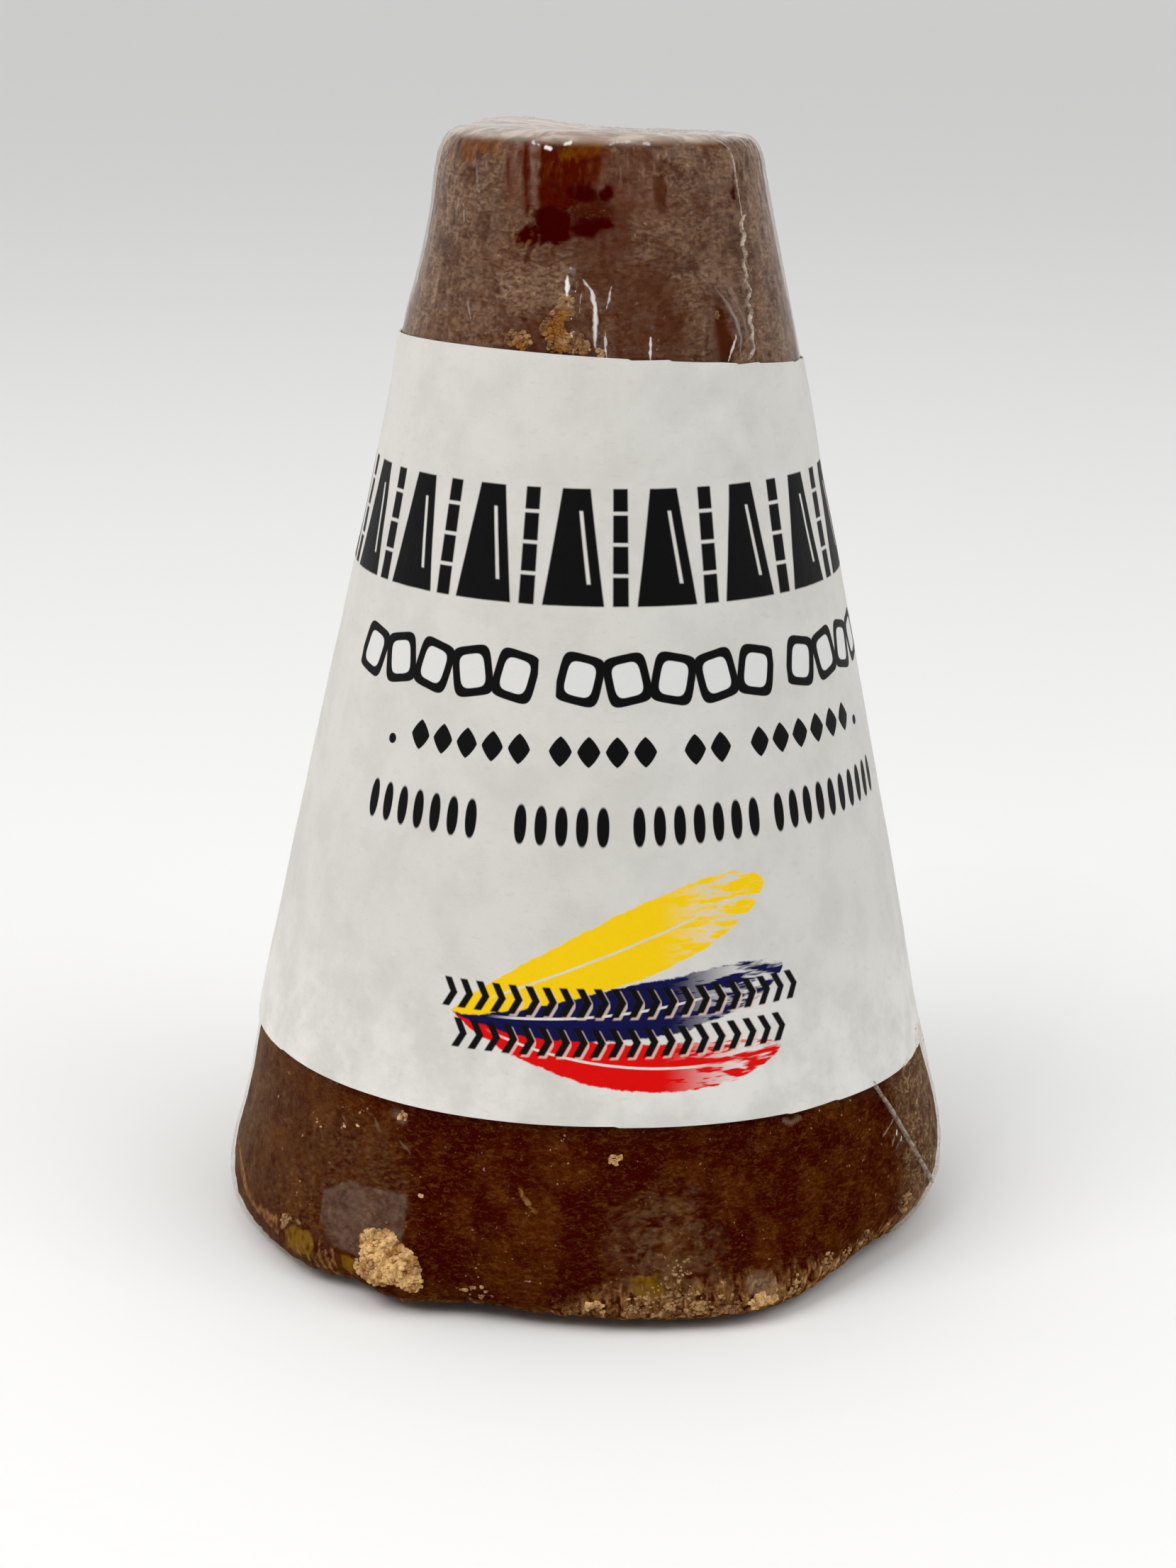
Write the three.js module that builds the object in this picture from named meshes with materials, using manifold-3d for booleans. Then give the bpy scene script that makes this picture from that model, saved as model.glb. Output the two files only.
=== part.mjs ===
// A piloncillo: a cone of solid brown cane sugar in clear shrink film, with a paper label wrapped round it.
// Millimetres, +Z up. The cone's axis is the Z axis, and its flat foot stands on Z = 0.
// An azimuth is in degrees about Z: 0 is +X, and -90, the middle of the shown side, is -Y.
import * as THREE from "three";
import { mergeVertices } from "three/addons/utils/BufferGeometryUtils.js";
import Module from "manifold-3d";

// ---------------------------------------------------------------- driving dimensions
const HEIGHT = 90;
const BASE_RADIUS = 31.7; // the straight wall, carried on down to the floor
const TOP_RADIUS = 12.3; // the straight wall, carried on up to the top
const BASE_ROUND = 3.2; // rounding between the wall and the foot
const RIM_ROUND = 1.8; // rounding between the wall and the top face
const TOP_DISH = { depth: 0.5, reach: 5.5 }; // the middle of the top face has sunk

const LABEL_THICKNESS = 0.2;
const LABEL_PROUD = 0.25; // the label's face stands this far out of the film
const LABEL_GAP = 0.3; // clear space between the label and the film behind it
const LABEL_OVERLAP = { azimuth: 90, half: 14, rise: LABEL_THICKNESS }; // the glued ends, at the back
// The label's edges are rings that tilt a little: height = middle + tilt * cos(azimuth - highest).
const LABEL_TOP = { middle: 73.0, tilt: 1.25, highest: -130 };
const LABEL_BOTTOM = { middle: 15.6, tilt: 1.2, highest: -118 };

const SEAM_RADIUS = 0.4; // the welded edge of the film, a bead that is half sunk in it
const SEAM_SIDES = 6;
const SEAM_STEP = 1.6; // length of bead between two of its sections
const SEAM_DIVE = 1; // how far a bead's ends sink into the cone
// The bead crosses the top face through these places, as [radius, azimuth], and goes over the rim. It then
// runs down the wall in two bare stretches, one over the label and one under it, as [height, azimuth].
const SEAM_OVER_TOP = [[2.5, -52], [6, -45], [9.5, -41]];
const SEAM_RIM_AZIMUTH = -39.5;
const SEAM_ABOVE = [[87.5, -38], [84, -37], [80, -38.6], [76.5, -40]];
const SEAM_BELOW = [[12.9, -31], [9, -25], [4.5, -16.5], [2, -12]];

const COLUMNS = 96; // facets round the cone
const SEED = 8;

// ---------------------------------------------------------------- how the wall strays from a true cone
// Low swells and hollows of the wall. Each has a middle at an azimuth and a height, spreads over some degrees
// round the cone, reaches some millimetres up and down it, and rises by so much.
const WALL_SWELLS = [
  { azimuth: -177, spread: 30, height: 87.5, reach: 1.6, rise: 0.45 },
  { azimuth: -177, spread: 26, height: 74.6, reach: 1.8, rise: 0.3 },
  { azimuth: -177, spread: 26, height: 9, reach: 4, rise: -0.3 },
  { azimuth: 0, spread: 22, height: 8, reach: 2.8, rise: 0.5 },
  { azimuth: 0, spread: 26, height: 17, reach: 2.6, rise: -0.2 },
  { azimuth: 0, spread: 30, height: 69, reach: 4, rise: 0.2 },
  { azimuth: 0, spread: 40, height: 57, reach: 10, rise: 0.15 },
  { azimuth: -175, spread: 30, height: 57, reach: 6, rise: -0.15 },
];
// Lumps of coarse crystal that stand out of the wall.
const LUMPS = [
  { azimuth: -120, spread: 6, height: 4.6, reach: 2.6, rise: 0.55 },
  { azimuth: -137, spread: 5, height: 3.4, reach: 2, rise: 0.35 },
  { azimuth: -64, spread: 4.5, height: 4, reach: 1.8, rise: 0.4 },
  { azimuth: -98, spread: 13, height: 76.2, reach: 2, rise: 0.3 },
];
// The lower edge was broken when the cone left its mould: it stands out, and is chipped away, by turns.
const EDGE_REACH = 3.4; // height over which a chip runs out up the wall
const EDGE_CHIPS = [
  { azimuth: -160, spread: 9, rise: 0.7 },
  { azimuth: -138, spread: 10, rise: 1.0 },
  { azimuth: -127.5, spread: 2.4, rise: -1.1 },
  { azimuth: -118, spread: 4, rise: 0.8 },
  { azimuth: -106, spread: 6, rise: -1.3 },
  { azimuth: -92, spread: 4, rise: -0.6 },
  { azimuth: -64, spread: 8, rise: 1.2 },
  { azimuth: -35, spread: 10, rise: -1.9 },
  { azimuth: -15, spread: 7, rise: -0.8 },
];
// The same on the far side. Each has an even place round the cone, moved by a random stray, and the rest of
// it is drawn at random from ranges.
const BACK_STRAY = [-6, 6];
const BACK_CHIPS = { first: 12, last: 172, count: 9, ranges: { spread: [4, 9], rise: [-1.5, 0.9] } };
const BACK_SWELLS = {
  first: 20,
  last: 165,
  count: 8,
  ranges: { height: [10, 80], spread: [16, 30], reach: [6, 12], rise: [-0.25, 0.25] },
};
// The top face's own relief: lumps at a place on it, and a fall towards +X and +Y.
const TOP_FALL = { x: 0.012, y: 0.04 }; // millimetres of height lost for each millimetre along
const TOP_LUMPS = [
  { x: -6.5, y: 6, reach: 3.6, rise: 0.8 },
  { x: 5, y: -4, reach: 3.2, rise: -0.25 },
];

// ---------------------------------------------------------------- small maths
const TAPER = (BASE_RADIUS - TOP_RADIUS) / HEIGHT; // radius lost for each millimetre of height
const WALL_TILT = Math.atan(TAPER); // the wall's normal looks up by this angle
const radians = THREE.MathUtils.degToRad;
const lerp = THREE.MathUtils.lerp;
const bell = (distance, width) => Math.exp(-0.5 * (distance / width) ** 2);
const turnBetween = (a, b) => THREE.MathUtils.euclideanModulo(a - b + 180, 360) - 180;
const steps = (count) => Array.from({ length: count + 1 }, (_, i) => i / count);

// A seeded stream of numbers from 0 to 1, the same in each run.
function randomStream(seed) {
  let state = seed;
  return () => {
    state = (state * 1664525 + 1013904223) % 4294967296;
    return state / 4294967296;
  };
}
const draw = randomStream(SEED);
const drawFrom = ([low, high]) => lerp(low, high, draw());

function spreadOut({ first, last, count, ranges }) {
  return steps(count - 1).map((share) => {
    const drawn = Object.entries(ranges).map(([name, range]) => [name, drawFrom(range)]);
    return { azimuth: lerp(first, last, share) + drawFrom(BACK_STRAY), ...Object.fromEntries(drawn) };
  });
}
const chips = [...EDGE_CHIPS, ...spreadOut(BACK_CHIPS)];
const swells = [...WALL_SWELLS, ...LUMPS, ...spreadOut(BACK_SWELLS)];

// ---------------------------------------------------------------- the film's outer surface
const straightRadius = (height) => BASE_RADIUS - TAPER * height;
const edgeHeight = (edge, azimuth) => edge.middle + edge.tilt * Math.cos(radians(azimuth - edge.highest));

function strayAt(azimuth, height) {
  let stray = 0;
  for (const s of swells)
    stray += s.rise * bell(turnBetween(azimuth, s.azimuth), s.spread) * bell(height - s.height, s.reach);
  for (const c of chips)
    stray += c.rise * bell(turnBetween(azimuth, c.azimuth), c.spread) * bell(height, EDGE_REACH);
  return stray;
}

const filmRadius = (azimuth, height) => straightRadius(height) + strayAt(azimuth, height);

// Height of the top face above HEIGHT at a point of it.
function topRelief(x, y) {
  let relief = -TOP_FALL.x * x - TOP_FALL.y * y - TOP_DISH.depth * bell(Math.hypot(x, y), TOP_DISH.reach);
  for (const lump of TOP_LUMPS) relief += lump.rise * bell(Math.hypot(x - lump.x, y - lump.y), lump.reach);
  return relief;
}

// ---------------------------------------------------------------- solids turned round the axis
const FOOT_ROWS = 4; // rows of facets on the lower rounding
const RIM_ROWS = 4;
const ROWS_BELOW = 4; // rows of facets on the wall under, behind and over the label
const ROWS_BEHIND = 12;
const ROWS_ABOVE = 6;
const TOP_ROWS = 4; // rings of facets on the top face
const SEAT_MARGIN = 0.5; // the label's seat reaches this far past its edges
const SEAT_RAMP = 0.8; // height over which the seat comes back to the wall

const LEVEL = Math.PI / 2; // the way a level face's normal looks

// Points of a quarter round between the wall and a level face, as [radius, height, share that is level].
function roundPoints(middleHeight, size, from, to, rows) {
  const middleRadius = straightRadius(middleHeight) - size / Math.cos(WALL_TILT);
  return steps(rows).map((share) => {
    const normal = lerp(from, to, share);
    return [middleRadius + size * Math.cos(normal), middleHeight + size * Math.sin(normal), Math.sin(normal)];
  });
}

// The cone's section at one azimuth, from the middle of the foot up to the middle of the top face.
function coneSection(azimuth) {
  const points = [[0, 0]];
  const foot = roundPoints(BASE_ROUND, BASE_ROUND, -LEVEL, WALL_TILT, FOOT_ROWS);
  for (const [radius, height] of foot) points.push([radius + strayAt(azimuth, height), height]);

  const seat = LABEL_GAP + LABEL_THICKNESS - LABEL_PROUD;
  const seatBottom = edgeHeight(LABEL_BOTTOM, azimuth) - SEAT_MARGIN;
  const seatTop = edgeHeight(LABEL_TOP, azimuth) + SEAT_MARGIN;
  const rim = roundPoints(HEIGHT - RIM_ROUND, RIM_ROUND, WALL_TILT, LEVEL, RIM_ROWS);
  const wallStart = foot.at(-1)[1];
  const wallEnd = rim[0][1];
  const stretches = [
    { from: wallStart, to: seatBottom - SEAT_RAMP, rows: ROWS_BELOW, inset: 0 },
    { from: seatBottom, to: seatTop, rows: ROWS_BEHIND, inset: seat },
    { from: seatTop + SEAT_RAMP, to: wallEnd, rows: ROWS_ABOVE, inset: 0 },
  ];
  for (const { from, to, rows, inset } of stretches)
    for (const share of steps(rows)) {
      const height = lerp(from, to, share);
      if (height > wallStart && height < wallEnd) points.push([filmRadius(azimuth, height) - inset, height]);
    }

  const [cos, sin] = [Math.cos(radians(azimuth)), Math.sin(radians(azimuth))];
  for (const [radius, height, flatness] of rim) {
    const r = radius + strayAt(azimuth, height);
    points.push([r, height + flatness * topRelief(r * cos, r * sin)]);
  }
  const flatRadius = rim.at(-1)[0] + strayAt(azimuth, HEIGHT);
  for (const share of steps(TOP_ROWS).slice(1, -1)) {
    const r = flatRadius * (1 - share);
    points.push([r, HEIGHT + topRelief(r * cos, r * sin)]);
  }
  points.push([0, HEIGHT + topRelief(0, 0)]);
  return points;
}

// The label's section at one azimuth: a thin strip that closes on itself.
const LABEL_ROWS = 7;
const LABEL_CURL = { azimuth: -177, spread: 22, reach: 3, rise: 0.35 }; // the upper edge stands off here

function labelSection(azimuth) {
  const bottom = edgeHeight(LABEL_BOTTOM, azimuth);
  const top = edgeHeight(LABEL_TOP, azimuth);
  const overlap = Math.abs(turnBetween(azimuth, LABEL_OVERLAP.azimuth)) < LABEL_OVERLAP.half;
  const curl = LABEL_CURL.rise * bell(turnBetween(azimuth, LABEL_CURL.azimuth), LABEL_CURL.spread);
  const face = (z) => filmRadius(azimuth, z) + LABEL_PROUD + curl * bell(top - z, LABEL_CURL.reach);
  const heights = steps(LABEL_ROWS).map((share) => lerp(bottom, top, share));
  const outside = heights.map((z) => [face(z) + (overlap ? LABEL_OVERLAP.rise : 0), z]);
  const inside = heights.map((z) => [face(z) - LABEL_THICKNESS, z]).reverse();
  return [...outside, ...inside, outside[0]];
}

// Turns a section round the Z axis. The section may change on the way round, so each column gets its own.
function turned(section) {
  const outline = section(0);
  const geometry = new THREE.LatheGeometry(outline.map(([r, z]) => new THREE.Vector2(r, z)), COLUMNS);
  const position = geometry.getAttribute("position");
  for (let column = 0; column <= COLUMNS; column++) {
    const azimuth = ((column % COLUMNS) / COLUMNS) * 360;
    section(azimuth).forEach(([radius, height], row) => {
      const { x, y, z } = polar(radius, azimuth, height);
      position.setXYZ(column * outline.length + row, x, y, z);
    });
  }
  return bare(geometry);
}

// ---------------------------------------------------------------- the film's welded edge
function polar(radius, azimuth, height) {
  const turn = radians(azimuth);
  return new THREE.Vector3(radius * Math.cos(turn), radius * Math.sin(turn), height);
}

const onWall = ([height, azimuth]) => polar(filmRadius(azimuth, height), azimuth, height);

function onTop([radius, azimuth]) {
  const flat = polar(radius, azimuth, 0);
  return polar(radius, azimuth, HEIGHT + topRelief(flat.x, flat.y));
}

function onRim(azimuth) {
  const half = (WALL_TILT + LEVEL) / 2;
  const [[radius, height, flatness]] = roundPoints(HEIGHT - RIM_ROUND, RIM_ROUND, half, half, 1);
  const flat = polar(radius, azimuth, 0);
  return polar(radius + strayAt(azimuth, height), azimuth, height + flatness * topRelief(flat.x, flat.y));
}

// A bead of SEAM_SIDES sides through points of the surface, whose ends sink into the cone.
function seamBead(points) {
  const middle = new THREE.Vector3(0, 0, HEIGHT / 2);
  const sunk = (point) => point.clone().add(middle.clone().sub(point).setLength(SEAM_DIVE));
  const path = new THREE.CatmullRomCurve3([sunk(points[0]), ...points.slice(1, -1), sunk(points.at(-1))]);
  const ring = steps(SEAM_SIDES).slice(0, -1).map((share) => {
    const turn = share * 2 * Math.PI;
    return new THREE.Vector2(SEAM_RADIUS * Math.cos(turn), SEAM_RADIUS * Math.sin(turn));
  });
  return bare(
    new THREE.ExtrudeGeometry(new THREE.Shape(ring), {
      steps: Math.round(path.getLength() / SEAM_STEP),
      extrudePath: path,
      bevelEnabled: false,
    }),
  );
}

// ---------------------------------------------------------------- joining
const wasm = await Module();
wasm.setup();

const MERGE_DISTANCE = 1e-4;

// Leaves positions only, with each shared vertex once.
function bare(geometry) {
  const open = geometry.clone();
  open.deleteAttribute("normal");
  open.deleteAttribute("uv");
  return mergeVertices(open, MERGE_DISTANCE);
}

function solidFrom(geometry) {
  return new wasm.Manifold(
    new wasm.Mesh({
      numProp: 3,
      vertProperties: new Float32Array(geometry.getAttribute("position").array),
      triVerts: new Uint32Array(geometry.index.array),
    }),
  );
}

function geometryFrom(solid) {
  const { numProp, numVert, vertProperties, triVerts } = solid.getMesh();
  const positions = new Float32Array(numVert * 3);
  for (let i = 0; i < numVert; i++)
    positions.set(vertProperties.subarray(i * numProp, i * numProp + 3), i * 3);
  const geometry = new THREE.BufferGeometry();
  geometry.setAttribute("position", new THREE.BufferAttribute(positions, 3));
  geometry.setIndex(new THREE.BufferAttribute(new Uint32Array(triVerts), 1));
  return geometry;
}

function meshOf(name, geometry, finish) {
  geometry.computeVertexNormals();
  const mesh = new THREE.Mesh(geometry, new THREE.MeshStandardMaterial(finish));
  mesh.name = name;
  return mesh;
}

// ---------------------------------------------------------------- the two sub-parts
const beads = [
  seamBead([...SEAM_OVER_TOP.map(onTop), onRim(SEAM_RIM_AZIMUTH), ...SEAM_ABOVE.map(onWall)]),
  seamBead(SEAM_BELOW.map(onWall)),
];
const cone = beads.reduce((whole, bead) => whole.add(solidFrom(bead)), solidFrom(turned(coneSection)));

const piloncillo = new THREE.Group();
piloncillo.add(
  meshOf("film_wrapped_cone", geometryFrom(cone), { color: 0x51301f, roughness: 0.28, metalness: 0 }),
  meshOf("paper_label", turned(labelSection), { color: 0xd9d7d1, roughness: 0.75, metalness: 0 }),
);

export default piloncillo;
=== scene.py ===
# %% [markdown]
# # A piloncillo in its shop wrapping
# A piloncillo is a cone of hard brown cane sugar. This one is sealed in clear shrink film, and a paper
# label goes round it. We load the measured model first. Everything after it is made in the same frame:
# metres, +Z up, with the middle of the cone's foot at the origin.

# %% Load the frame
import math
import random

import bmesh
import bpy
from mathutils import Matrix, Vector
from mathutils.bvhtree import BVHTree


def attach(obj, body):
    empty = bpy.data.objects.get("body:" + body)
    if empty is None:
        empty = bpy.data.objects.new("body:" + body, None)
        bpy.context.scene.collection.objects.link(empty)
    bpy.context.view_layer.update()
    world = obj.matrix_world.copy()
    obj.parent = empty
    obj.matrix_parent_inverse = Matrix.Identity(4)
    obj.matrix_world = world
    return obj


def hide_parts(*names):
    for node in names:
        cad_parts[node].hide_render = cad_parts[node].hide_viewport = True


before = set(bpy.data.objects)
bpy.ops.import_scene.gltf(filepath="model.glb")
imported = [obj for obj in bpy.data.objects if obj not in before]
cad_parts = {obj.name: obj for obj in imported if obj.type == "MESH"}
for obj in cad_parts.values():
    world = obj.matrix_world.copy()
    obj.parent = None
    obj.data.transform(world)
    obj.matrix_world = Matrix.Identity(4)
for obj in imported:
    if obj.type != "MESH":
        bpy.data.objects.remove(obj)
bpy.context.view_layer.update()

MM = 0.001
cone_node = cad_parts["film_wrapped_cone"]

# %% [markdown]
# ## Places on a cone
# Most things here have a place on the cone's wall. We give it as `across`, in degrees from the front
# and positive to the right, and `up`, in millimetres above the floor. The front looks towards -Y. A
# bell curve is the usual way to say how strongly something acts near its place.

# %% Driving dimensions and places
HEIGHT = 90  # like all lengths here, in millimetres
BASE_RADIUS = 31.7  # the straight wall, carried on down to the floor
TOP_RADIUS = 12.3  # the same, carried on up to the top
BASE_ROUND = 3.2
RIM_ROUND = 1.8
TAPER = (BASE_RADIUS - TOP_RADIUS) / HEIGHT
# Each edge of the label runs higher than its middle by tilt at the place across called highest.
LABEL_TOP = {"middle": 73.0, "tilt": 1.25, "highest": -40}
LABEL_BOTTOM = {"middle": 15.6, "tilt": 1.2, "highest": -28}


def wall_radius(up):
    """The straight wall's radius in millimetres."""
    return BASE_RADIUS - TAPER * up


def place(across, up, radius=None):
    """The point at a place, in metres. With no radius given, it is on the straight wall."""
    turn = math.radians(across)
    reach = wall_radius(up) if radius is None else radius
    return Vector((reach * math.sin(turn), -reach * math.cos(turn), up)) * MM


def across_of(point):
    return math.degrees(math.atan2(point.x, -point.y))


def bell(distance, width):
    return math.exp(-0.5 * (distance / width) ** 2)


print("wall radius at the label's top", round(wall_radius(LABEL_TOP["middle"]), 2), "mm")

# %% [markdown]
# ## The camera
# The view comes first, because all the looks are judged in it. A long lens from a little above keeps
# the cone's sides nearly straight. The camera is turned by three small angles, applied one after the
# other: round the upright axis, down towards the cone, and about its own view line.

# %% Camera
CAMERA_PLACE = Vector((1.9, -230.1, 101.9)) * MM
LOOKS_DOWN = 0.2792  # like the other two angles, in radians
TURNED_LEFT = 0.0100
ROLLED = 0.0157
LENS = 65.1

camera = bpy.data.objects.new("camera", bpy.data.cameras.new("camera"))
bpy.context.scene.collection.objects.link(camera)
camera.data.lens = LENS
camera.data.clip_start = 10 * MM
facing = Matrix.Rotation(TURNED_LEFT, 3, "Z")
facing = facing @ Matrix.Rotation(math.pi / 2 - LOOKS_DOWN, 3, "X")
facing = facing @ Matrix.Rotation(ROLLED, 3, "Z")
camera.rotation_euler = facing.to_euler()
camera.location = CAMERA_PLACE
bpy.context.scene.camera = camera
print("camera", tuple(round(c / MM) for c in camera.location), "mm")

# %% [markdown]
# ## Sums in a shader
# A pattern is easier to read as a sum than as a web of nodes. `Wire` wraps an output of a node, so that
# `1 - wire * 2` adds the Math nodes itself. `Finish` is a material. Its method `add` makes any other
# node, from its type, its settings, and then the values or wires of its inputs. `solid` makes the
# shader that most finishes are based on, and `end` hands back the finished material.

# %% Wire
class Wire:
    """An output of a node, which takes part in sums."""

    def __init__(self, finish, socket):
        self.finish = finish
        self.socket = socket

    def maths(self, operation, *others):
        values = dict(enumerate((self, *others)))
        return self.finish.add("ShaderNodeMath", {"operation": operation}, values)

    def __add__(self, other):
        return self.maths("ADD", other)

    def __mul__(self, other):
        return self.maths("MULTIPLY", other)

    def __sub__(self, other):
        return self.maths("SUBTRACT", other)

    def __rsub__(self, other):
        values = {0: other, 1: self}
        return self.finish.add("ShaderNodeMath", {"operation": "SUBTRACT"}, values)

    def __truediv__(self, other):
        return self.maths("DIVIDE", other)

    __radd__ = __add__
    __rmul__ = __mul__

    def size(self):
        return self.maths("ABSOLUTE")

    def floor(self):
        return self.maths("FLOOR")

    def rise(self, low, high):
        """0 up to low and 1 from high on, with a soft step between."""
        settings = {"interpolation_type": "SMOOTHSTEP"}
        values = {"Value": self, "From Min": low, "From Max": high}
        return self.finish.add("ShaderNodeMapRange", settings, values)

    def fall(self, low, high):
        return 1 - self.rise(low, high)

    def within(self, middle, half, soft):
        """1 within half of middle, and 0 a little further out."""
        return (self - middle).size().fall(half - soft, half + soft)

    def other(self, name):
        """Another output of the same node."""
        return Wire(self.finish, self.socket.node.outputs[name])


# %% Finish
class Finish:
    """The nodes of a material or of the room, which are made by add()."""

    def __init__(self, owner):
        self.owner = owner
        owner.use_nodes = True
        self.tree = owner.node_tree
        self.tree.nodes.clear()

    def add(self, kind, settings=None, values=None, output=0):
        """Makes a node and hands back one of its outputs."""
        node = self.tree.nodes.new(kind)
        for name, value in (settings or {}).items():
            setattr(node, name, value)
        for key, value in (values or {}).items():
            if isinstance(value, Wire):
                self.tree.links.new(value.socket, node.inputs[key])
            elif isinstance(value, tuple) and len(node.inputs[key].default_value) == 4:
                node.inputs[key].default_value = (*value, 1)
            else:
                node.inputs[key].default_value = value
        return Wire(self, node.outputs[output]) if node.outputs else None

    def solid(self, values):
        """A Principled shader with those inputs."""
        return self.add("ShaderNodeBsdfPrincipled", {}, values)

    def end(self, shader, output="ShaderNodeOutputMaterial"):
        self.add(output, {}, {"Surface": shader})
        return self.owner


def new_finish(name):
    return Finish(bpy.data.materials.new(name))


# %% [markdown]
# ## The studio
# Film is judged by what it mirrors, so the room matters as much as the material. The room and the
# floor are pale, and they give the film its light edges. In front, where the camera stands, the room
# is dark, so that the film is clear there and the sugar's deep colour comes through. The camera itself
# sees the pale room everywhere. Big soft lamps stand high at the left and the right, and two small
# strips give the short bright glints on the film's creases.

# %% Floor and room
bpy.ops.object.select_all(action="DESELECT")
bpy.ops.mesh.primitive_plane_add(size=80)
floor = bpy.context.object
floor.name = "floor"

# The dark part reaches from straight ahead to these angles. Squeezing the sideways axis widens it.
ROOM = {"bright": 0.80, "dark": 0.03, "dark_within": (30, 62), "squeeze": (0.45, 1, 1)}


def pale_room():
    room = Finish(bpy.data.worlds.new("pale_room"))
    direction = room.add("ShaderNodeTexCoord").other("Generated")
    settings, values = {"operation": "MULTIPLY"}, {0: direction, 1: ROOM["squeeze"]}
    squeezed = room.add("ShaderNodeVectorMath", settings, values)
    squeezed = room.add("ShaderNodeVectorMath", {"operation": "NORMALIZE"}, {0: squeezed})
    values = {0: squeezed, 1: (0, -1, 0)}
    ahead = room.add("ShaderNodeVectorMath", {"operation": "DOT_PRODUCT"}, values, output=1)
    inner, outer = (math.cos(math.radians(angle)) for angle in ROOM["dark_within"])
    share = ahead.rise(outer, inner)
    seen = room.add("ShaderNodeLightPath")
    strength = ROOM["bright"] - share * (1 - seen) * (ROOM["bright"] - ROOM["dark"])
    backdrop = room.add("ShaderNodeBackground", {}, {"Color": (1.0, 1.0, 1.0), "Strength": strength})
    return room.end(backdrop, "ShaderNodeOutputWorld")


bpy.context.scene.world = pale_room()
bpy.context.scene.view_settings.view_transform = "Standard"

# %% Lamps
def lamp(name, across, elevation, distance, size_mm, watts, colour):
    """A rectangular lamp that looks at the cone, placed by its direction as seen from there."""
    data = bpy.data.lights.new(name, "AREA")
    data.shape = "RECTANGLE"
    data.size, data.size_y = size_mm[0] * MM, size_mm[1] * MM
    data.energy = watts
    data.color = colour
    made = bpy.data.objects.new(name, data)
    bpy.context.scene.collection.objects.link(made)
    middle = Vector((0, 0, HEIGHT / 2)) * MM
    level = distance * math.cos(math.radians(elevation))
    rise = distance * math.sin(math.radians(elevation))
    made.location = middle + place(across, rise, radius=level)
    made.rotation_euler = (middle - made.location).to_track_quat("-Z", "Y").to_euler()
    return made


lamp("key", -50, 52, 750, (420, 420), 2.3, (1.0, 0.975, 0.94))
lamp("fill", 60, 48, 750, (500, 500), 1.35, (0.95, 0.98, 1.0))
lamp("glint", -15, 16.5, 520, (12, 18), 0.08, (1.0, 1.0, 1.0))
lamp("rim_glint", -30, 48, 520, (10, 14), 0.06, (1.0, 1.0, 1.0))

# %% [markdown]
# ## Working as by hand
# Blender's operators act on what is selected. The helpers below deselect everything first and then
# pick vertices, edges or faces by their place, as one would with the mouse. Each modifier is applied
# as soon as it is added, so that the next step works on the real mesh.

# %% Selecting and editing
def activate(piece):
    bpy.ops.object.select_all(action="DESELECT")
    piece.select_set(True)
    bpy.context.view_layer.objects.active = piece


def pick(piece, kind, test):
    """In edit mode, selects the VERT, EDGE or FACE elements that pass a test and counts them."""
    bpy.ops.mesh.select_mode(type=kind)
    bpy.ops.mesh.select_all(action="DESELECT")
    mesh = bmesh.from_edit_mesh(piece.data)
    elements = {"VERT": mesh.verts, "EDGE": mesh.edges, "FACE": mesh.faces}[kind]
    chosen = [element for element in elements if test(element)]
    for element in chosen:
        element.select_set(True)
    bmesh.update_edit_mesh(piece.data)
    return len(chosen)


def settle():
    """Moves the active object's place and scale into its mesh."""
    bpy.ops.object.transform_apply(location=True, rotation=True, scale=True)


def start_editing(piece):
    """Goes into edit mode on one piece."""
    activate(piece)
    bpy.ops.object.mode_set(mode="EDIT")


def stop_editing():
    """Goes back to object mode."""
    bpy.ops.object.mode_set(mode="OBJECT")


# %% Modifiers, cuts and vertex groups
def apply_modifier(piece, kind, **settings):
    activate(piece)
    modifier = piece.modifiers.new(kind.lower(), kind)
    for name, value in settings.items():
        setattr(modifier, name, value)
    bpy.ops.object.modifier_apply(modifier=modifier.name)


def cut_rings(heights):
    """In edit mode, cuts the whole mesh by a level plane at each height."""
    for height in heights:
        bpy.ops.mesh.select_all(action="SELECT")
        bpy.ops.mesh.bisect(plane_co=(0, 0, height * MM), plane_no=(0, 0, 1))


def spaced(first, last, count):
    return [first + (last - first) * i / (count - 1) for i in range(count)]


def weigh(piece, name, share):
    """A vertex group whose weight is share(across, up) at each vertex."""
    group = piece.vertex_groups.new(name=name)
    for vertex in piece.data.vertices:
        group.add([vertex.index], share(across_of(vertex.co), vertex.co.z / MM), "REPLACE")
    return name


# %% [markdown]
# ## A dark fence
# The lower wall leans back less than the camera looks down, so it would mirror the bright floor. A low
# dark fence stands round the front half, far outside the picture. Only mirror-like rays see it. It is
# a cylinder without its ends, and the faces behind the cone are cut away, because the cone's outline
# mirrors what is behind it and should stay pale.

# %% Dark fence
FENCE = {"radius": 350, "height": 56, "end": 100}  # end is how far it reaches to either side, in degrees

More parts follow.
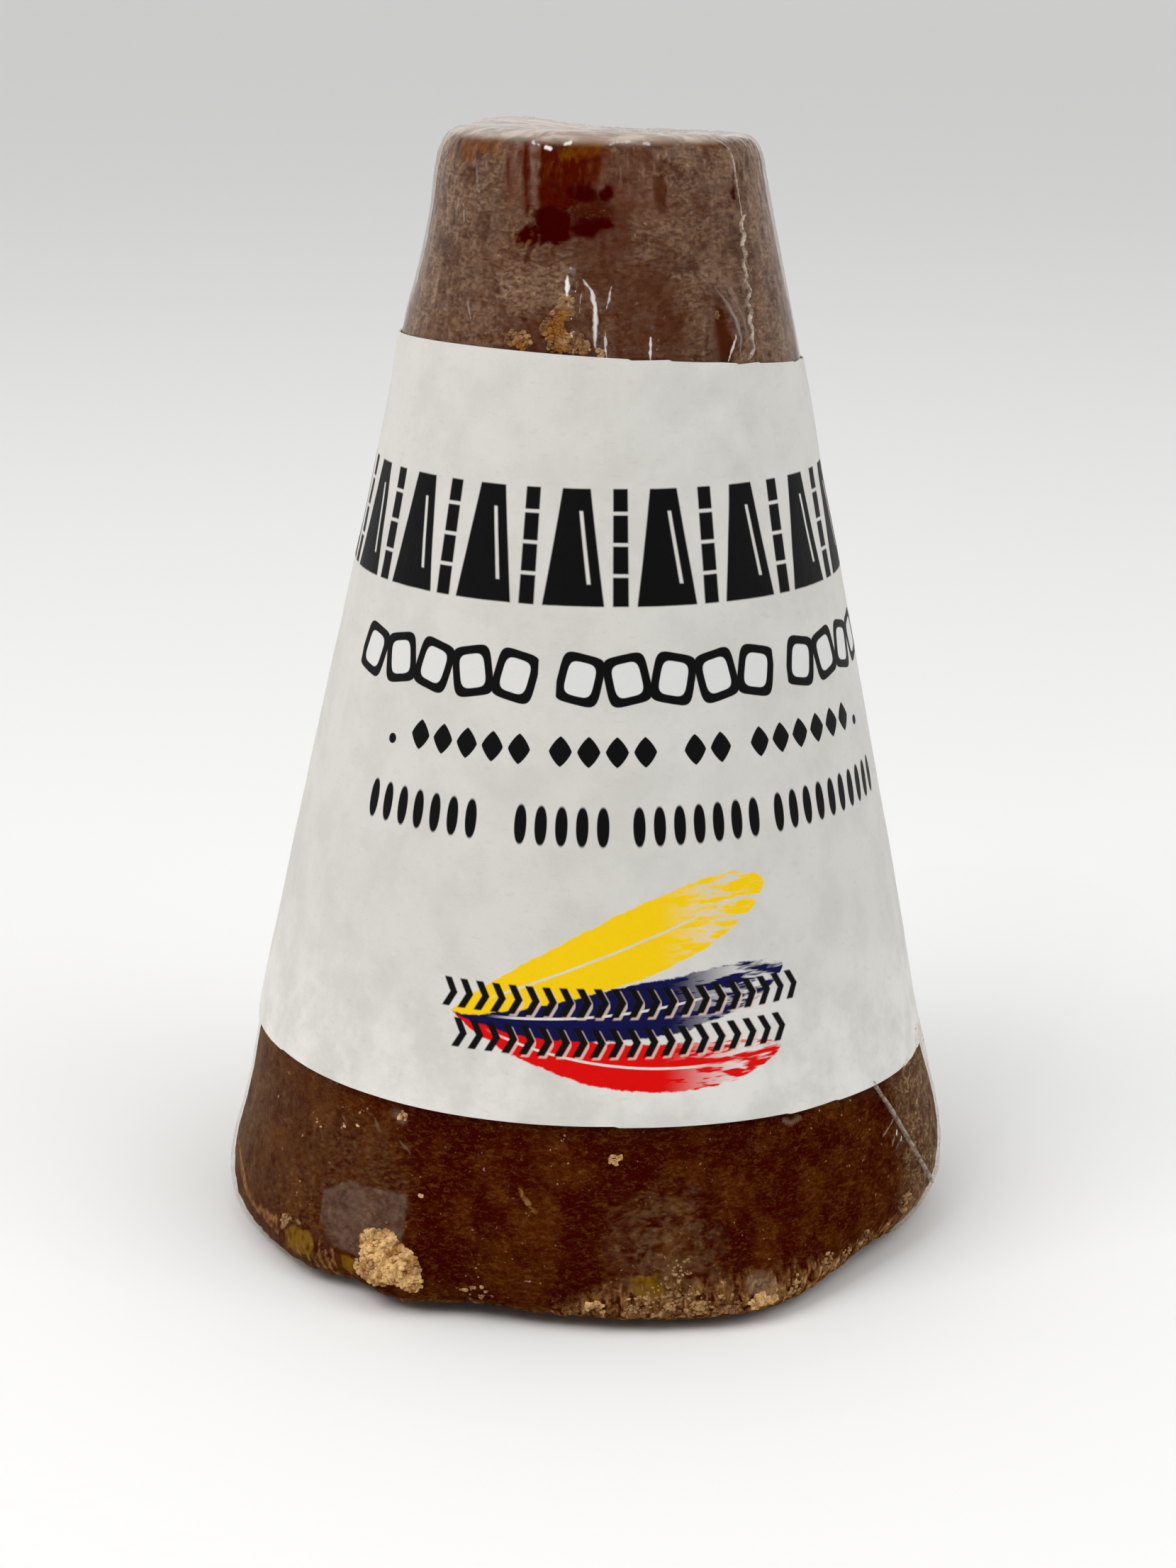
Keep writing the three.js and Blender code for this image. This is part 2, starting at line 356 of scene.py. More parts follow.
bpy.ops.object.select_all(action="DESELECT")
bpy.ops.mesh.primitive_cylinder_add(
    vertices=96,
    radius=FENCE["radius"] * MM,
    depth=FENCE["height"] * MM,
    end_fill_type="NOTHING",
    location=(0, 0, FENCE["height"] / 2 * MM),
)
fence = bpy.context.object
fence.name = "dark_fence"
settle()
start_editing(fence)
behind = pick(fence, "FACE", lambda face: abs(across_of(face.calc_center_median())) > FENCE["end"])
bpy.ops.mesh.delete(type="FACE")
stop_editing()
fence.visible_camera = False
fence.visible_diffuse = False
fence.visible_shadow = False
print("fence", len(fence.data.polygons), "faces, and", behind, "cut away")

# %% [markdown]
# ## A blank for sugar and film
# The sugar and the film have the same form, so both start from one blank. It could be a lathe profile,
# but a cone primitive is quicker: its two ends are bevelled, its end faces are inset into rings, and
# level cuts give it rows. The blank is then wrapped onto the measured cone, which brings in its swells
# and its chipped edge, and is subdivided until it can hold fine relief. Behind the label the measured
# cone has a shallow seat that only keeps the two solids apart. Real film runs straight on there, so the
# covered rows are moved out again, and there are no rows near the label's edges, where the seat begins.

# %% Blank
COLUMNS = 128
COVERED = (13, 75.6)  # rows between these heights lie behind the label
ROWS = [*spaced(5, COVERED[0], 6), 18.5, 30, 45, 60, 70.5, *spaced(COVERED[1], 87.6, 10)]


def lies_at(point, height):
    return abs(point.z - height * MM) < 1e-6


def cone_blank(name):
    bpy.ops.object.select_all(action="DESELECT")
    bpy.ops.mesh.primitive_cone_add(
        vertices=COLUMNS,
        radius1=BASE_RADIUS * MM,
        radius2=TOP_RADIUS * MM,
        depth=HEIGHT * MM,
        end_fill_type="NGON",
        location=(0, 0, HEIGHT * MM / 2),
    )
    piece = bpy.context.object
    piece.name = name
    settle()
    start_editing(piece)
    for height, offset, segments in ((0, BASE_ROUND, 4), (HEIGHT, RIM_ROUND, 3)):
        pick(piece, "EDGE", lambda edge: all(lies_at(v.co, height) for v in edge.verts))
        bpy.ops.mesh.bevel(offset=offset * MM, segments=segments, profile=0.5)
    cut_rings(ROWS)
    for height, step, rings in ((0, 8, 3), (HEIGHT, 1.6, 6)):
        pick(piece, "FACE", lambda face: len(face.verts) > 4 and lies_at(face.calc_center_median(), height))
        for _ in range(rings):
            bpy.ops.mesh.inset(thickness=step * MM)
        bpy.ops.mesh.poke()
    stop_editing()
    return piece


# %% The blank on the measured cone
SEAT_DEPTH = 0.25  # the measured cone is drawn in by this where the label covers it


def fitted_blank(name, offset):
    """A blank that lies at an offset in millimetres from the measured cone, fine enough for relief."""
    piece = cone_blank(name)
    apply_modifier(
        piece,
        "SHRINKWRAP",
        target=cone_node,
        wrap_method="NEAREST_SURFACEPOINT",
        wrap_mode="ABOVE_SURFACE",
        offset=offset * MM,
    )
    covered = weigh(piece, "covered", lambda across, up: float(COVERED[0] < up < COVERED[1]))
    apply_modifier(piece, "DISPLACE", strength=SEAT_DEPTH * MM, mid_level=0, vertex_group=covered)
    apply_modifier(piece, "SUBSURF", levels=2, render_levels=2)
    print(name, len(piece.data.polygons), "faces")
    return piece


# %% [markdown]
# ## Relief
# A Displace modifier with one of Blender's noise textures pushes a mesh in and out. A vertex group
# says where it may act. Some patterns are long in one direction, such as the film's pleats: the
# texture then takes its coordinates from an empty that is stretched that way. The empty is removed
# once the modifier is applied.

# %% Helpers for relief
def relief(piece, size, height, group="", middle=0.5, stretch=(1, 1, 1), **texture_settings):
    """Pushes the mesh over a range of height, in millimetres, with features of that size. The texture's
    value of middle stays where it is, so a higher middle puts more of the relief inwards."""
    texture = bpy.data.textures.new(f"{piece.name}_relief", "CLOUDS")
    texture.noise_scale = size * MM
    for name, value in texture_settings.items():
        setattr(texture, name, value)
    stretcher = bpy.data.objects.new("stretcher", None)
    bpy.context.scene.collection.objects.link(stretcher)
    stretcher.scale = stretch
    bpy.context.view_layer.update()
    apply_modifier(
        piece,
        "DISPLACE",
        texture=texture,
        texture_coords="OBJECT",
        texture_coords_object=stretcher,
        strength=height * MM,
        mid_level=middle,
        vertex_group=group,
    )
    bpy.data.objects.remove(stretcher)
    bpy.data.textures.remove(texture)


def smooth(piece, angle=60):
    activate(piece)
    bpy.ops.object.shade_smooth_by_angle(angle=math.radians(angle))


# %% [markdown]
# ## The sugar
# Cane syrup is poured into a mould and sets hard. The wall is nearly smooth, with soft swells and a
# fine grain. The lower edge, which was the open side of the mould, is rough and broken. So a broad
# relief goes all over, a coarse cell pattern acts only near the lower edge, and the top face gets its
# own lumps.

# %% Sugar cone
SUGAR_UNDER_FILM = 0.24
sugar = fitted_blank("sugar_cone", -SUGAR_UNDER_FILM)
at_foot = weigh(sugar, "at_foot", lambda across, up: min(1, max(0, (3.2 - up) / 2)))
near_foot = weigh(sugar, "near_foot", lambda across, up: bell(up, 3.0))
on_top = weigh(sugar, "on_top", lambda across, up: min(1, max(0, (up - 87.5) / 2)))
apply_modifier(sugar, "DISPLACE", strength=0.12 * MM, mid_level=0, vertex_group=at_foot)
relief(sugar, size=5.0, height=0.14)
relief(sugar, size=0.9, height=0.08)
relief(sugar, size=1.5, height=0.4, group=near_foot, middle=0.7, noise_basis="VORONOI_F2_F1")
relief(sugar, size=0.6, height=0.2, group=near_foot, middle=0.7)
relief(sugar, size=2.2, height=0.5, group=on_top, middle=0.8)
smooth(sugar, 50)

# %% [markdown]
# ## The film
# Shrink film is pulled tight by hot air. It lies close to the sugar, bridges its hollows, and puckers
# where there is too much of it: in short upright pleats under the rim and in crumples on the top face.
# It is far thinner than anything we could see from the side, so one closed skin stands for it.

# %% Shrink film
film = fitted_blank("shrink_film", 0)
under_rim = weigh(film, "under_rim", lambda across, up: bell(up - 88, 3.2))
top_face = weigh(film, "top_face", lambda across, up: min(1, max(0, (up - 88.4) / 1.2)))
bare_wall = weigh(film, "bare_wall", lambda across, up: 1 - bell(up, 2) - bell(up - 90, 2))
relief(film, size=3.5, height=0.12, group=bare_wall, stretch=(1, 1, 3))
relief(film, size=0.55, height=0.16, group=under_rim, stretch=(1, 1, 9))
near_foot = weigh(film, "near_foot", lambda across, up: bell(up, 6) * min(1, max(0, up - 0.4)))
relief(film, size=3.0, height=0.32, group=top_face)
relief(film, size=0.8, height=0.06, group=top_face)
relief(film, size=1.5, height=0.26, group=near_foot)


# %% A calm middle for the top face
def calm_middle(piece):
    """Smooths the middle of the top face, where long thin faces meet and would glint."""
    start_editing(piece)
    count = pick(piece, "VERT", lambda v: v.co.z > 80 * MM and v.co.xy.length < 1.6 * MM)
    bpy.ops.mesh.vertices_smooth(factor=0.5, repeat=24)
    stop_editing()
    return count


print("calmed", calm_middle(film), "vertices")

# %% [markdown]
# ### Creases
# The larger creases in the film are placed by hand. Each one is a short route on the wall. The
# vertices nearest to it are picked and pushed outwards, and proportional editing carries the ones
# around them along, which leaves a rounded ridge.

# %% Places of the film's creases
CREASES = [  # route, width and height
    ([(-9.4, 79.6), (-9.1, 78.0)], 0.9, 0.16),
    ([(-4.6, 79.6), (-2.2, 78.8), (-0.9, 77.4), (-0.8, 75.0)], 0.9, 0.2),
    ([(3.4, 79.0), (2.2, 77.6)], 0.7, 0.12),
    ([(1.9, 76.0), (2.2, 74.9)], 0.8, 0.14),
    ([(14.6, 75.4), (14.4, 74.6)], 0.7, 0.14),
    ([(35.4, 79.0), (39.4, 77.7), (42.0, 76.5), (43.4, 74.6)], 1.2, 0.42),
    ([(40.8, 75.4), (39.6, 74.3)], 0.7, 0.16),
    ([(31.4, 78.6), (31.0, 75.0)], 0.8, 0.12),
    ([(-42.1, 77.7), (-40.0, 76.3)], 0.8, 0.12),
    ([(-51.3, 84.4), (-50.0, 82.6)], 0.7, 0.12),
    ([(58.6, 12.2), (55.6, 11.6)], 0.6, 0.14),
    ([(59.0, 11.2), (57.4, 10.4)], 0.6, 0.14),
    ([(60.3, 10.3), (57.9, 9.6)], 0.6, 0.12),
    ([(146, 81.0), (150, 78.0), (149, 74.9)], 1.0, 0.25),
    ([(-132, 79.5), (-136, 76.5)], 0.9, 0.2),
    ([(168, 12.0), (171, 9.0), (170, 6.5)], 1.2, 0.3),
    ([(-128, 12.5), (-131, 8.5)], 1.0, 0.2),
    ([(104, 80.0), (102, 76.0)], 0.8, 0.2),
]


# %% Creases in the film
def distance_to_route(point, route):
    """Shortest distance from a point to a line through places on the wall."""
    corners = [place(across, up) for across, up in route]
    best = math.inf
    for start, end in zip(corners, corners[1:]):
        along = end - start
        share = min(1, max(0, (point - start).dot(along) / along.length_squared))
        best = min(best, (point - start - along * share).length)
    return best


def crease(piece, route, width, height):
    start_editing(piece)
    found = pick(piece, "VERT", lambda v: distance_to_route(v.co, route) < 0.16 * width * MM + 0.35 * MM)
    bpy.ops.transform.shrink_fatten(
        value=height * MM,
        use_proportional_edit=True,
        proportional_edit_falloff="SMOOTH",
        proportional_size=width * MM,
    )
    stop_editing()
    return found


print("creases", [crease(film, *each) for each in CREASES])
smooth(film, 70)

# %% [markdown]
# ## Placing small things on the sugar
# The straight wall is only nearly where the finished surface is. A search tree of a piece's faces
# quickly finds its closest point to any given one, and grains and the weld are seated on that point.

# %% Seat on a surface
def surface_of(piece):
    return BVHTree.FromObject(piece, bpy.context.evaluated_depsgraph_get())


def seat(surface, across, up, radius=None):
    """The point and normal of a surface nearest to a place."""
    point, normal, _, _ = surface.find_nearest(place(across, up, radius))
    return point, normal


sugar_surface = surface_of(sugar)
film_surface = surface_of(film)
print("seat at the front, 80 mm up", seat(film_surface, 0, 80)[0])


# %% [markdown]
# ## The weld
# The film is a tube that was welded along one side. The weld shrank into a thin cord that runs over the
# top, down the wall and on below the label. One link of it is modelled: a small leaf, tilted to its
# run. An Array modifier repeats the link along a curve, and a Curve modifier bends the row onto the
# wall. Above the label the cord has shrunk most, and snakes from side to side.

# %% Weld
WELD_TOP = [(38, 2.5), (45, 6), (49, 9.5)]  # across and reach from the axis, on the top face
WELD_THIN = [(49.6, 89.7), (51.8, 88.9), (52.7, 87.8), (52.2, 86.6), (52.8, 85.4), (52.7, 83.8)]
WELD_SNAKING = {"from": (52.4, 83.9), "to": (48.4, 73.4), "turns": 16, "swing": 1.25}
WELD_BELOW = [(55.0, 15.9), (57.5, 14.1), (59.5, 12.6), (63.8, 9.6), (68.6, 6.5), (71.4, 5.1), (74.5, 3.6)]
THIN_LINK = {"length": 1.2, "thick": 0.15, "tilt": 4, "step": 0.55}
SNAKING_LINK = {"length": 0.9, "thick": 0.25, "tilt": 12, "step": 0.5}
LOWER_LINK = {"length": 1.5, "thick": 0.32, "tilt": 7, "step": 0.45}


def snaking(run):
    """Places that swing left and right in turn about the run from one place to another."""
    chance = random.Random(5)
    (across, up), (last_across, last_up) = run["from"], run["to"]
    places = []
    for turn in range(run["turns"]):
        share = turn / (run["turns"] - 1)
        swing = run["swing"] * (-1) ** turn * chance.uniform(0.5, 1.4)
        side = across + (last_across - across) * share + swing
        places.append((side, up + (last_up - up) * share))
    return places


# %% A row of links along a curve
def curve_through(name, points):
    data = bpy.data.curves.new(name, "CURVE")
    data.dimensions = "3D"
    spline = data.splines.new("NURBS")
    spline.points.add(len(points) - 1)
    for target, point in zip(spline.points, points):
        target.co = (*point, 1)
    spline.order_u = 3
    spline.use_endpoint_u = True
    made = bpy.data.objects.new(name, data)
    bpy.context.scene.collection.objects.link(made)
    return made


# %% A stretch of the weld
def weld_piece(name, points, link):
    bpy.ops.object.select_all(action="DESELECT")
    bpy.ops.mesh.primitive_uv_sphere_add(segments=10, ring_count=8, radius=0.5 * MM)
    piece = bpy.context.object
    piece.name = name
    piece.scale = (link["length"], link["thick"], link["thick"])
    settle()
    start_editing(piece)
    for axis in ("Y", "Z"):
        bpy.ops.mesh.select_all(action="SELECT")
        bpy.ops.transform.rotate(
            value=math.radians(link["tilt"]), orient_axis=axis, center_override=(0, 0, 0)
        )
    stop_editing()
    path = curve_through(f"{name}_path", points)
    apply_modifier(
        piece,
        "ARRAY",
        fit_type="FIT_CURVE",
        curve=path,
        use_relative_offset=False,
        use_constant_offset=True,
        constant_offset_displace=(link["step"] * link["length"] * MM, 0, 0),
    )
    apply_modifier(piece, "CURVE", object=path, deform_axis="POS_X")
    bpy.data.objects.remove(path)
    relief(piece, size=1.3, height=0.16)
    smooth(piece, 80)
    print(name, len(piece.data.polygons), "faces")
    return piece


# %% Three stretches of the weld
over_top = [seat(film_surface, across, HEIGHT, reach)[0] for across, reach in WELD_TOP]
under_rim_run = [seat(film_surface, *spot)[0] for spot in WELD_THIN]
snaking_run = [seat(film_surface, *spot)[0] for spot in snaking(WELD_SNAKING)]
lower_run = [seat(film_surface, *spot)[0] for spot in WELD_BELOW]
rim_weld = weld_piece("film_weld_rim", over_top + under_rim_run, THIN_LINK)
upper_weld = weld_piece("film_weld_upper", snaking_run, SNAKING_LINK)
lower_weld = weld_piece("film_weld_lower", lower_run, LOWER_LINK)

# %% [markdown]
# ## Crystals
# In a few places the sugar set in coarse pale crystals, or a crumb got caught under the film. Three
# grains are modelled from a cube, each bevelled and pushed out of shape. Heaps of copies are then
# strewn at random round listed places, with a fixed seed so that each run gives the same heap.

# %% Three grains
def grain_model(name, proportions, seed):
    bpy.ops.object.select_all(action="DESELECT")
    bpy.ops.mesh.primitive_cube_add(size=1)
    grain = bpy.context.object
    grain.name = name
    grain.scale = proportions
    settle()
    start_editing(grain)
    bpy.ops.mesh.select_all(action="SELECT")
    bpy.ops.mesh.bevel(offset=0.22, segments=1, affect="EDGES")
    bpy.ops.mesh.select_all(action="SELECT")
    bpy.ops.transform.vertex_random(offset=0.16, seed=seed)
    stop_editing()
    return grain


GRAINS = [
    grain_model("blocky_grain", (1.0, 0.8, 0.9), 1),
    grain_model("long_grain", (1.3, 0.7, 0.6), 2),
    grain_model("flat_grain", (1.1, 1.0, 0.5), 3),
]
print("faces a grain", [len(grain.data.polygons) for grain in GRAINS])


# %% Strew grains
def strew(name, heaps, seed):
    """Grains round each heap's place: its reach, the least and greatest grain and the lift are in mm."""
    chance = random.Random(seed)
    copies = []
    for heap_across, heap_up, heap_reach, count, sizes, heap_lift in heaps:
        for _ in range(count):
            turn = chance.uniform(0, math.tau)
            reach = heap_reach * math.sqrt(chance.random()) * chance.uniform(0.75, 1.1)
            up = heap_up + reach * math.sin(turn)
            across = heap_across + math.degrees(reach * math.cos(turn) / wall_radius(up))
            point, normal = seat(sugar_surface, across, up)
            size = chance.uniform(*sizes)
            turned = Matrix.Rotation(chance.uniform(0, math.tau), 4, "Z")
            turned = turned @ Matrix.Rotation(chance.uniform(0, math.tau), 4, "X")
            copy = bpy.data.objects.new(name, chance.choice(GRAINS).data.copy())
            copy.data.transform(turned @ Matrix.Scale(size * MM, 4))
            lift = chance.uniform(0, heap_lift)
            copy.data.transform(Matrix.Translation(point + normal * lift * MM))
            bpy.context.scene.collection.objects.link(copy)
            copies.append(copy)
    bpy.ops.object.select_all(action="DESELECT")
    for copy in copies:
        copy.select_set(True)
    bpy.context.view_layer.objects.active = copies[0]
    bpy.ops.object.join()
    copies[0].name = name
    print(name, len(heaps), "heaps,", len(copies[0].data.polygons), "faces")
    return copies[0]


# %% Pale crystals
FINE = (0.22, 0.5)
MIDDLING = (0.3, 0.6)
TINY = (0.12, 0.34)
SMALL = (0.16, 0.36)
PALE_HEAPS = [  # across, up, reach, count, sizes, lift
    (-32.4, 5.4, 1.3, 210, FINE, 0.25),
    (-29.8, 6.1, 0.8, 80, FINE, 0),
    (-31.4, 3.9, 1.6, 420, MIDDLING, 0.3),
    (-27.2, 4.2, 1.5, 330, MIDDLING, 0.3),
    (-32.0, 4.6, 0.7, 90, MIDDLING, 0.7),
    (-27.4, 4.4, 0.7, 90, MIDDLING, 0.75),
    (-30.2, 3.4, 0.6, 60, FINE, 0.6),
    (-29.6, 5.0, 1.0, 110, FINE, 0),
    (-25.4, 3.2, 0.9, 100, FINE, 0.2),
    (-34.4, 2.9, 0.9, 90, FINE, 0),
    (5.0, 14.1, 0.55, 26, SMALL, 0),
    (-30.5, 15.7, 0.4, 7, FINE, 0),
    (-38.9, 14.9, 0.2, 2, TINY, 0),
    (-39.1, 13.9, 0.2, 2, TINY, 0),
    (-42.3, 13.4, 0.25, 3, TINY, 0),
    (-48.3, 12.9, 0.5, 3, TINY, 0),
    (-50.4, 7.7, 0.1, 1, TINY, 0),
    (-25.5, 9.9, 0.1, 1, FINE, 0),
    (26.6, 2.1, 0.9, 80, FINE, 0),
    (29.0, 1.9, 0.5, 24, FINE, 0),
    (1.6, 2.0, 0.7, 34, FINE, 0),
]
pale_crystals = strew("pale_crystals", PALE_HEAPS, seed=11)

# %% Golden crystals
GOLDEN_HEAPS = [  # across, up, reach, count, sizes, lift
    (-9.4, 77.9, 0.5, 50, FINE, 0),
    (-10.4, 77.1, 0.75, 100, FINE, 0.2),
    (-13.2, 76.0, 0.8, 110, FINE, 0.2),
    (-11.2, 75.0, 0.9, 120, FINE, 0.2),
    (-7.2, 75.0, 0.8, 100, FINE, 0.2),
    (-4.2, 74.7, 0.55, 40, FINE, 0),
    (-24.4, 75.0, 0.6, 50, FINE, 0),
    (-21.2, 74.9, 0.65, 56, FINE, 0),
    (0.4, 74.2, 0.4, 18, FINE, 0),
    (37.0, 76.8, 0.25, 6, FINE, 0),
]
golden_crystals = strew("golden_crystals", GOLDEN_HEAPS, seed=12)

# %% Crumbs along the lower edge
CRUMB_HEAPS = [  # across, up, reach, count, sizes, lift
    (8.6, 2.0, 1.6, 90, TINY, 0),
    (12.0, 3.4, 1.4, 50, TINY, 0),
    (15.0, 5.4, 1.0, 26, TINY, 0),
    (15.5, 2.2, 2.0, 100, TINY, 0),
    (18.0, 1.8, 1.0, 24, FINE, 0),
    (21.5, 2.0, 1.4, 70, TINY, 0),
    (33.0, 2.4, 1.2, 30, TINY, 0),
    (40.5, 3.2, 0.9, 34, TINY, 0),
    (45.0, 2.2, 1.2, 40, TINY, 0),
    (51.0, 2.8, 1.3, 44, TINY, 0),
    (63.0, 4.0, 1.3, 40, TINY, 0),
    (-51.5, 4.2, 0.6, 40, TINY, 0),
    (-16.0, 2.0, 1.4, 24, TINY, 0),
    (150.0, 2.6, 2.0, 110, TINY, 0),
    (-120.0, 3.0, 1.6, 80, TINY, 0),
]
edge_crumbs = strew("edge_crumbs", CRUMB_HEAPS, seed=13)
for grain in GRAINS:
    bpy.data.objects.remove(grain)

# %% [markdown]
# ## The label
# The label is a strip of paper that goes once round the film and laps over itself at the back. A
# straight line with many points, spun by more than a full turn, gives the strip and its lap in one go.
# Two tilted planes trim its edges, since the paper was put on slightly askew. The lap is moved out by
# the paper's thickness, its glued end lifts a little, and a Solidify modifier makes the sheet real.

# %% Label strip
PAPER = 0.12  # the sheet's thickness
LABEL_PROUD = 0.2  # the paper's outer face stands this far out of the straight wall
LAP = {"across": 180, "half": 14}
LAP_RISE = 6  # degrees over which the outer end climbs onto the inner one
LAP_SPACE = 0.04  # air between the two ends
END_LIFT = 0.4  # how far the glued end stands off at most
STRIP_UP = (13.5, 75)  # the strip's first heights, before its edges are trimmed
SPIN = 360 + 2 * LAP["half"]  # degrees from one end of the strip to the other
SPIN_STEPS = 440
LABEL_ROWS = 96


def label_strip():
    bpy.ops.object.select_all(action="DESELECT")
    bpy.ops.mesh.primitive_plane_add(size=1)
    strip = bpy.context.object
    strip.name = "label_band"
    start_editing(strip)
    mesh = bmesh.from_edit_mesh(strip.data)
    ends = [(LAP["across"] - LAP["half"], up) for up in STRIP_UP]
    corners = list(mesh.verts)
    for corner, (across, up) in zip(corners, ends):
        corner.co = place(across, up, wall_radius(up) + LABEL_PROUD)
    for spare in corners[2:]:
        mesh.verts.remove(spare)
    bmesh.update_edit_mesh(strip.data)
    bpy.ops.mesh.select_all(action="SELECT")
    bpy.ops.mesh.subdivide(number_cuts=LABEL_ROWS - 1)
    bpy.ops.mesh.select_all(action="SELECT")
    bpy.ops.mesh.spin(
        steps=SPIN_STEPS,
        angle=math.radians(SPIN),
        center=(0, 0, 0),
        axis=(0, 0, 1),
        use_auto_merge=False,
    )
    stop_editing()
    return strip


label = label_strip()
print("label", len(label.data.vertices), "vertices,", len(label.data.polygons), "faces")

# %% Lap, fit and trim
def lap_and_trim(strip):
    apply_modifier(
        strip,
        "SHRINKWRAP",
        target=cone_node,
        wrap_method="NEAREST_SURFACEPOINT",
        wrap_mode="ABOVE_SURFACE",
        offset=(SEAT_DEPTH + LABEL_PROUD) * MM,
    )
    outer = strip.vertex_groups.new(name="outer_lap")
    per_step = LABEL_ROWS + 1
    for vertex in strip.data.vertices:
        past = (vertex.index // per_step) / SPIN_STEPS * SPIN - 360
        outer.add([vertex.index], min(1, max(0, (past + LAP_RISE) / LAP_RISE)), "REPLACE")
    climb = (PAPER + LAP_SPACE) * MM
    apply_modifier(strip, "DISPLACE", strength=climb, mid_level=0, vertex_group="outer_lap")
    lifted = strip.vertex_groups.new(name="lifted_end")
    for vertex in strip.data.vertices:
        before_end = (1 - (vertex.index // per_step) / SPIN_STEPS) * SPIN
        lift = bell(before_end, 2.5) * (0.5 + 0.5 * math.sin(vertex.co.z / MM * 0.13))
        lifted.add([vertex.index], lift, "REPLACE")
    apply_modifier(strip, "DISPLACE", strength=END_LIFT * MM, mid_level=0, vertex_group="lifted_end")
    start_editing(strip)
    for edge, keep_below in ((LABEL_TOP, True), (LABEL_BOTTOM, False)):
        slope = edge["tilt"] / wall_radius(edge["middle"])
        leaning = place(edge["highest"], 0, radius=1).normalized() * slope
        bpy.ops.mesh.select_all(action="SELECT")
        bpy.ops.mesh.bisect(
            plane_co=(0, 0, edge["middle"] * MM),
            plane_no=(-leaning.x, -leaning.y, 1),
            clear_outer=keep_below,
            clear_inner=not keep_below,
        )
    stop_editing()


lap_and_trim(label)
heights = [vertex.co.z / MM for vertex in label.data.vertices]
print("label from", round(min(heights), 2), "to", round(max(heights), 2), "mm up")

# %% [markdown]
# Paper on a cone never lies quite flat. It gets a broad soft waviness, and a few creases at the upper
# right, where it was pressed over the weld.

# %% Paper waves and creases
relief(label, size=9, height=0.16)
relief(label, size=2.6, height=0.05)
PAPER_CREASES = [  # route, width and height
    ([(34, 72.6), (37.5, 70.6), (34.6, 68.6), (38, 66.4)], 1.5, 0.42),
    ([(45, 71.0), (44, 69.0), (47, 67.0)], 1.4, 0.32),
    ([(27, 69.4), (30, 68.0)], 1.4, -0.16),
]
print("paper creases", [crease(label, *each) for each in PAPER_CREASES])
apply_modifier(label, "SOLIDIFY", thickness=PAPER * MM, offset=-1)
smooth(label, 50)

# %% [markdown]
# ## Patterns for the finishes
# Every finish needs the same things: its place on the cone, noises at their real size, and masks with
# the outlines of patches and lines. A patch is a convex shape: a point is inside when it lies on the
# right side of every edge. The piece's own Object coordinates carry all this, as its object sits at
# the origin.

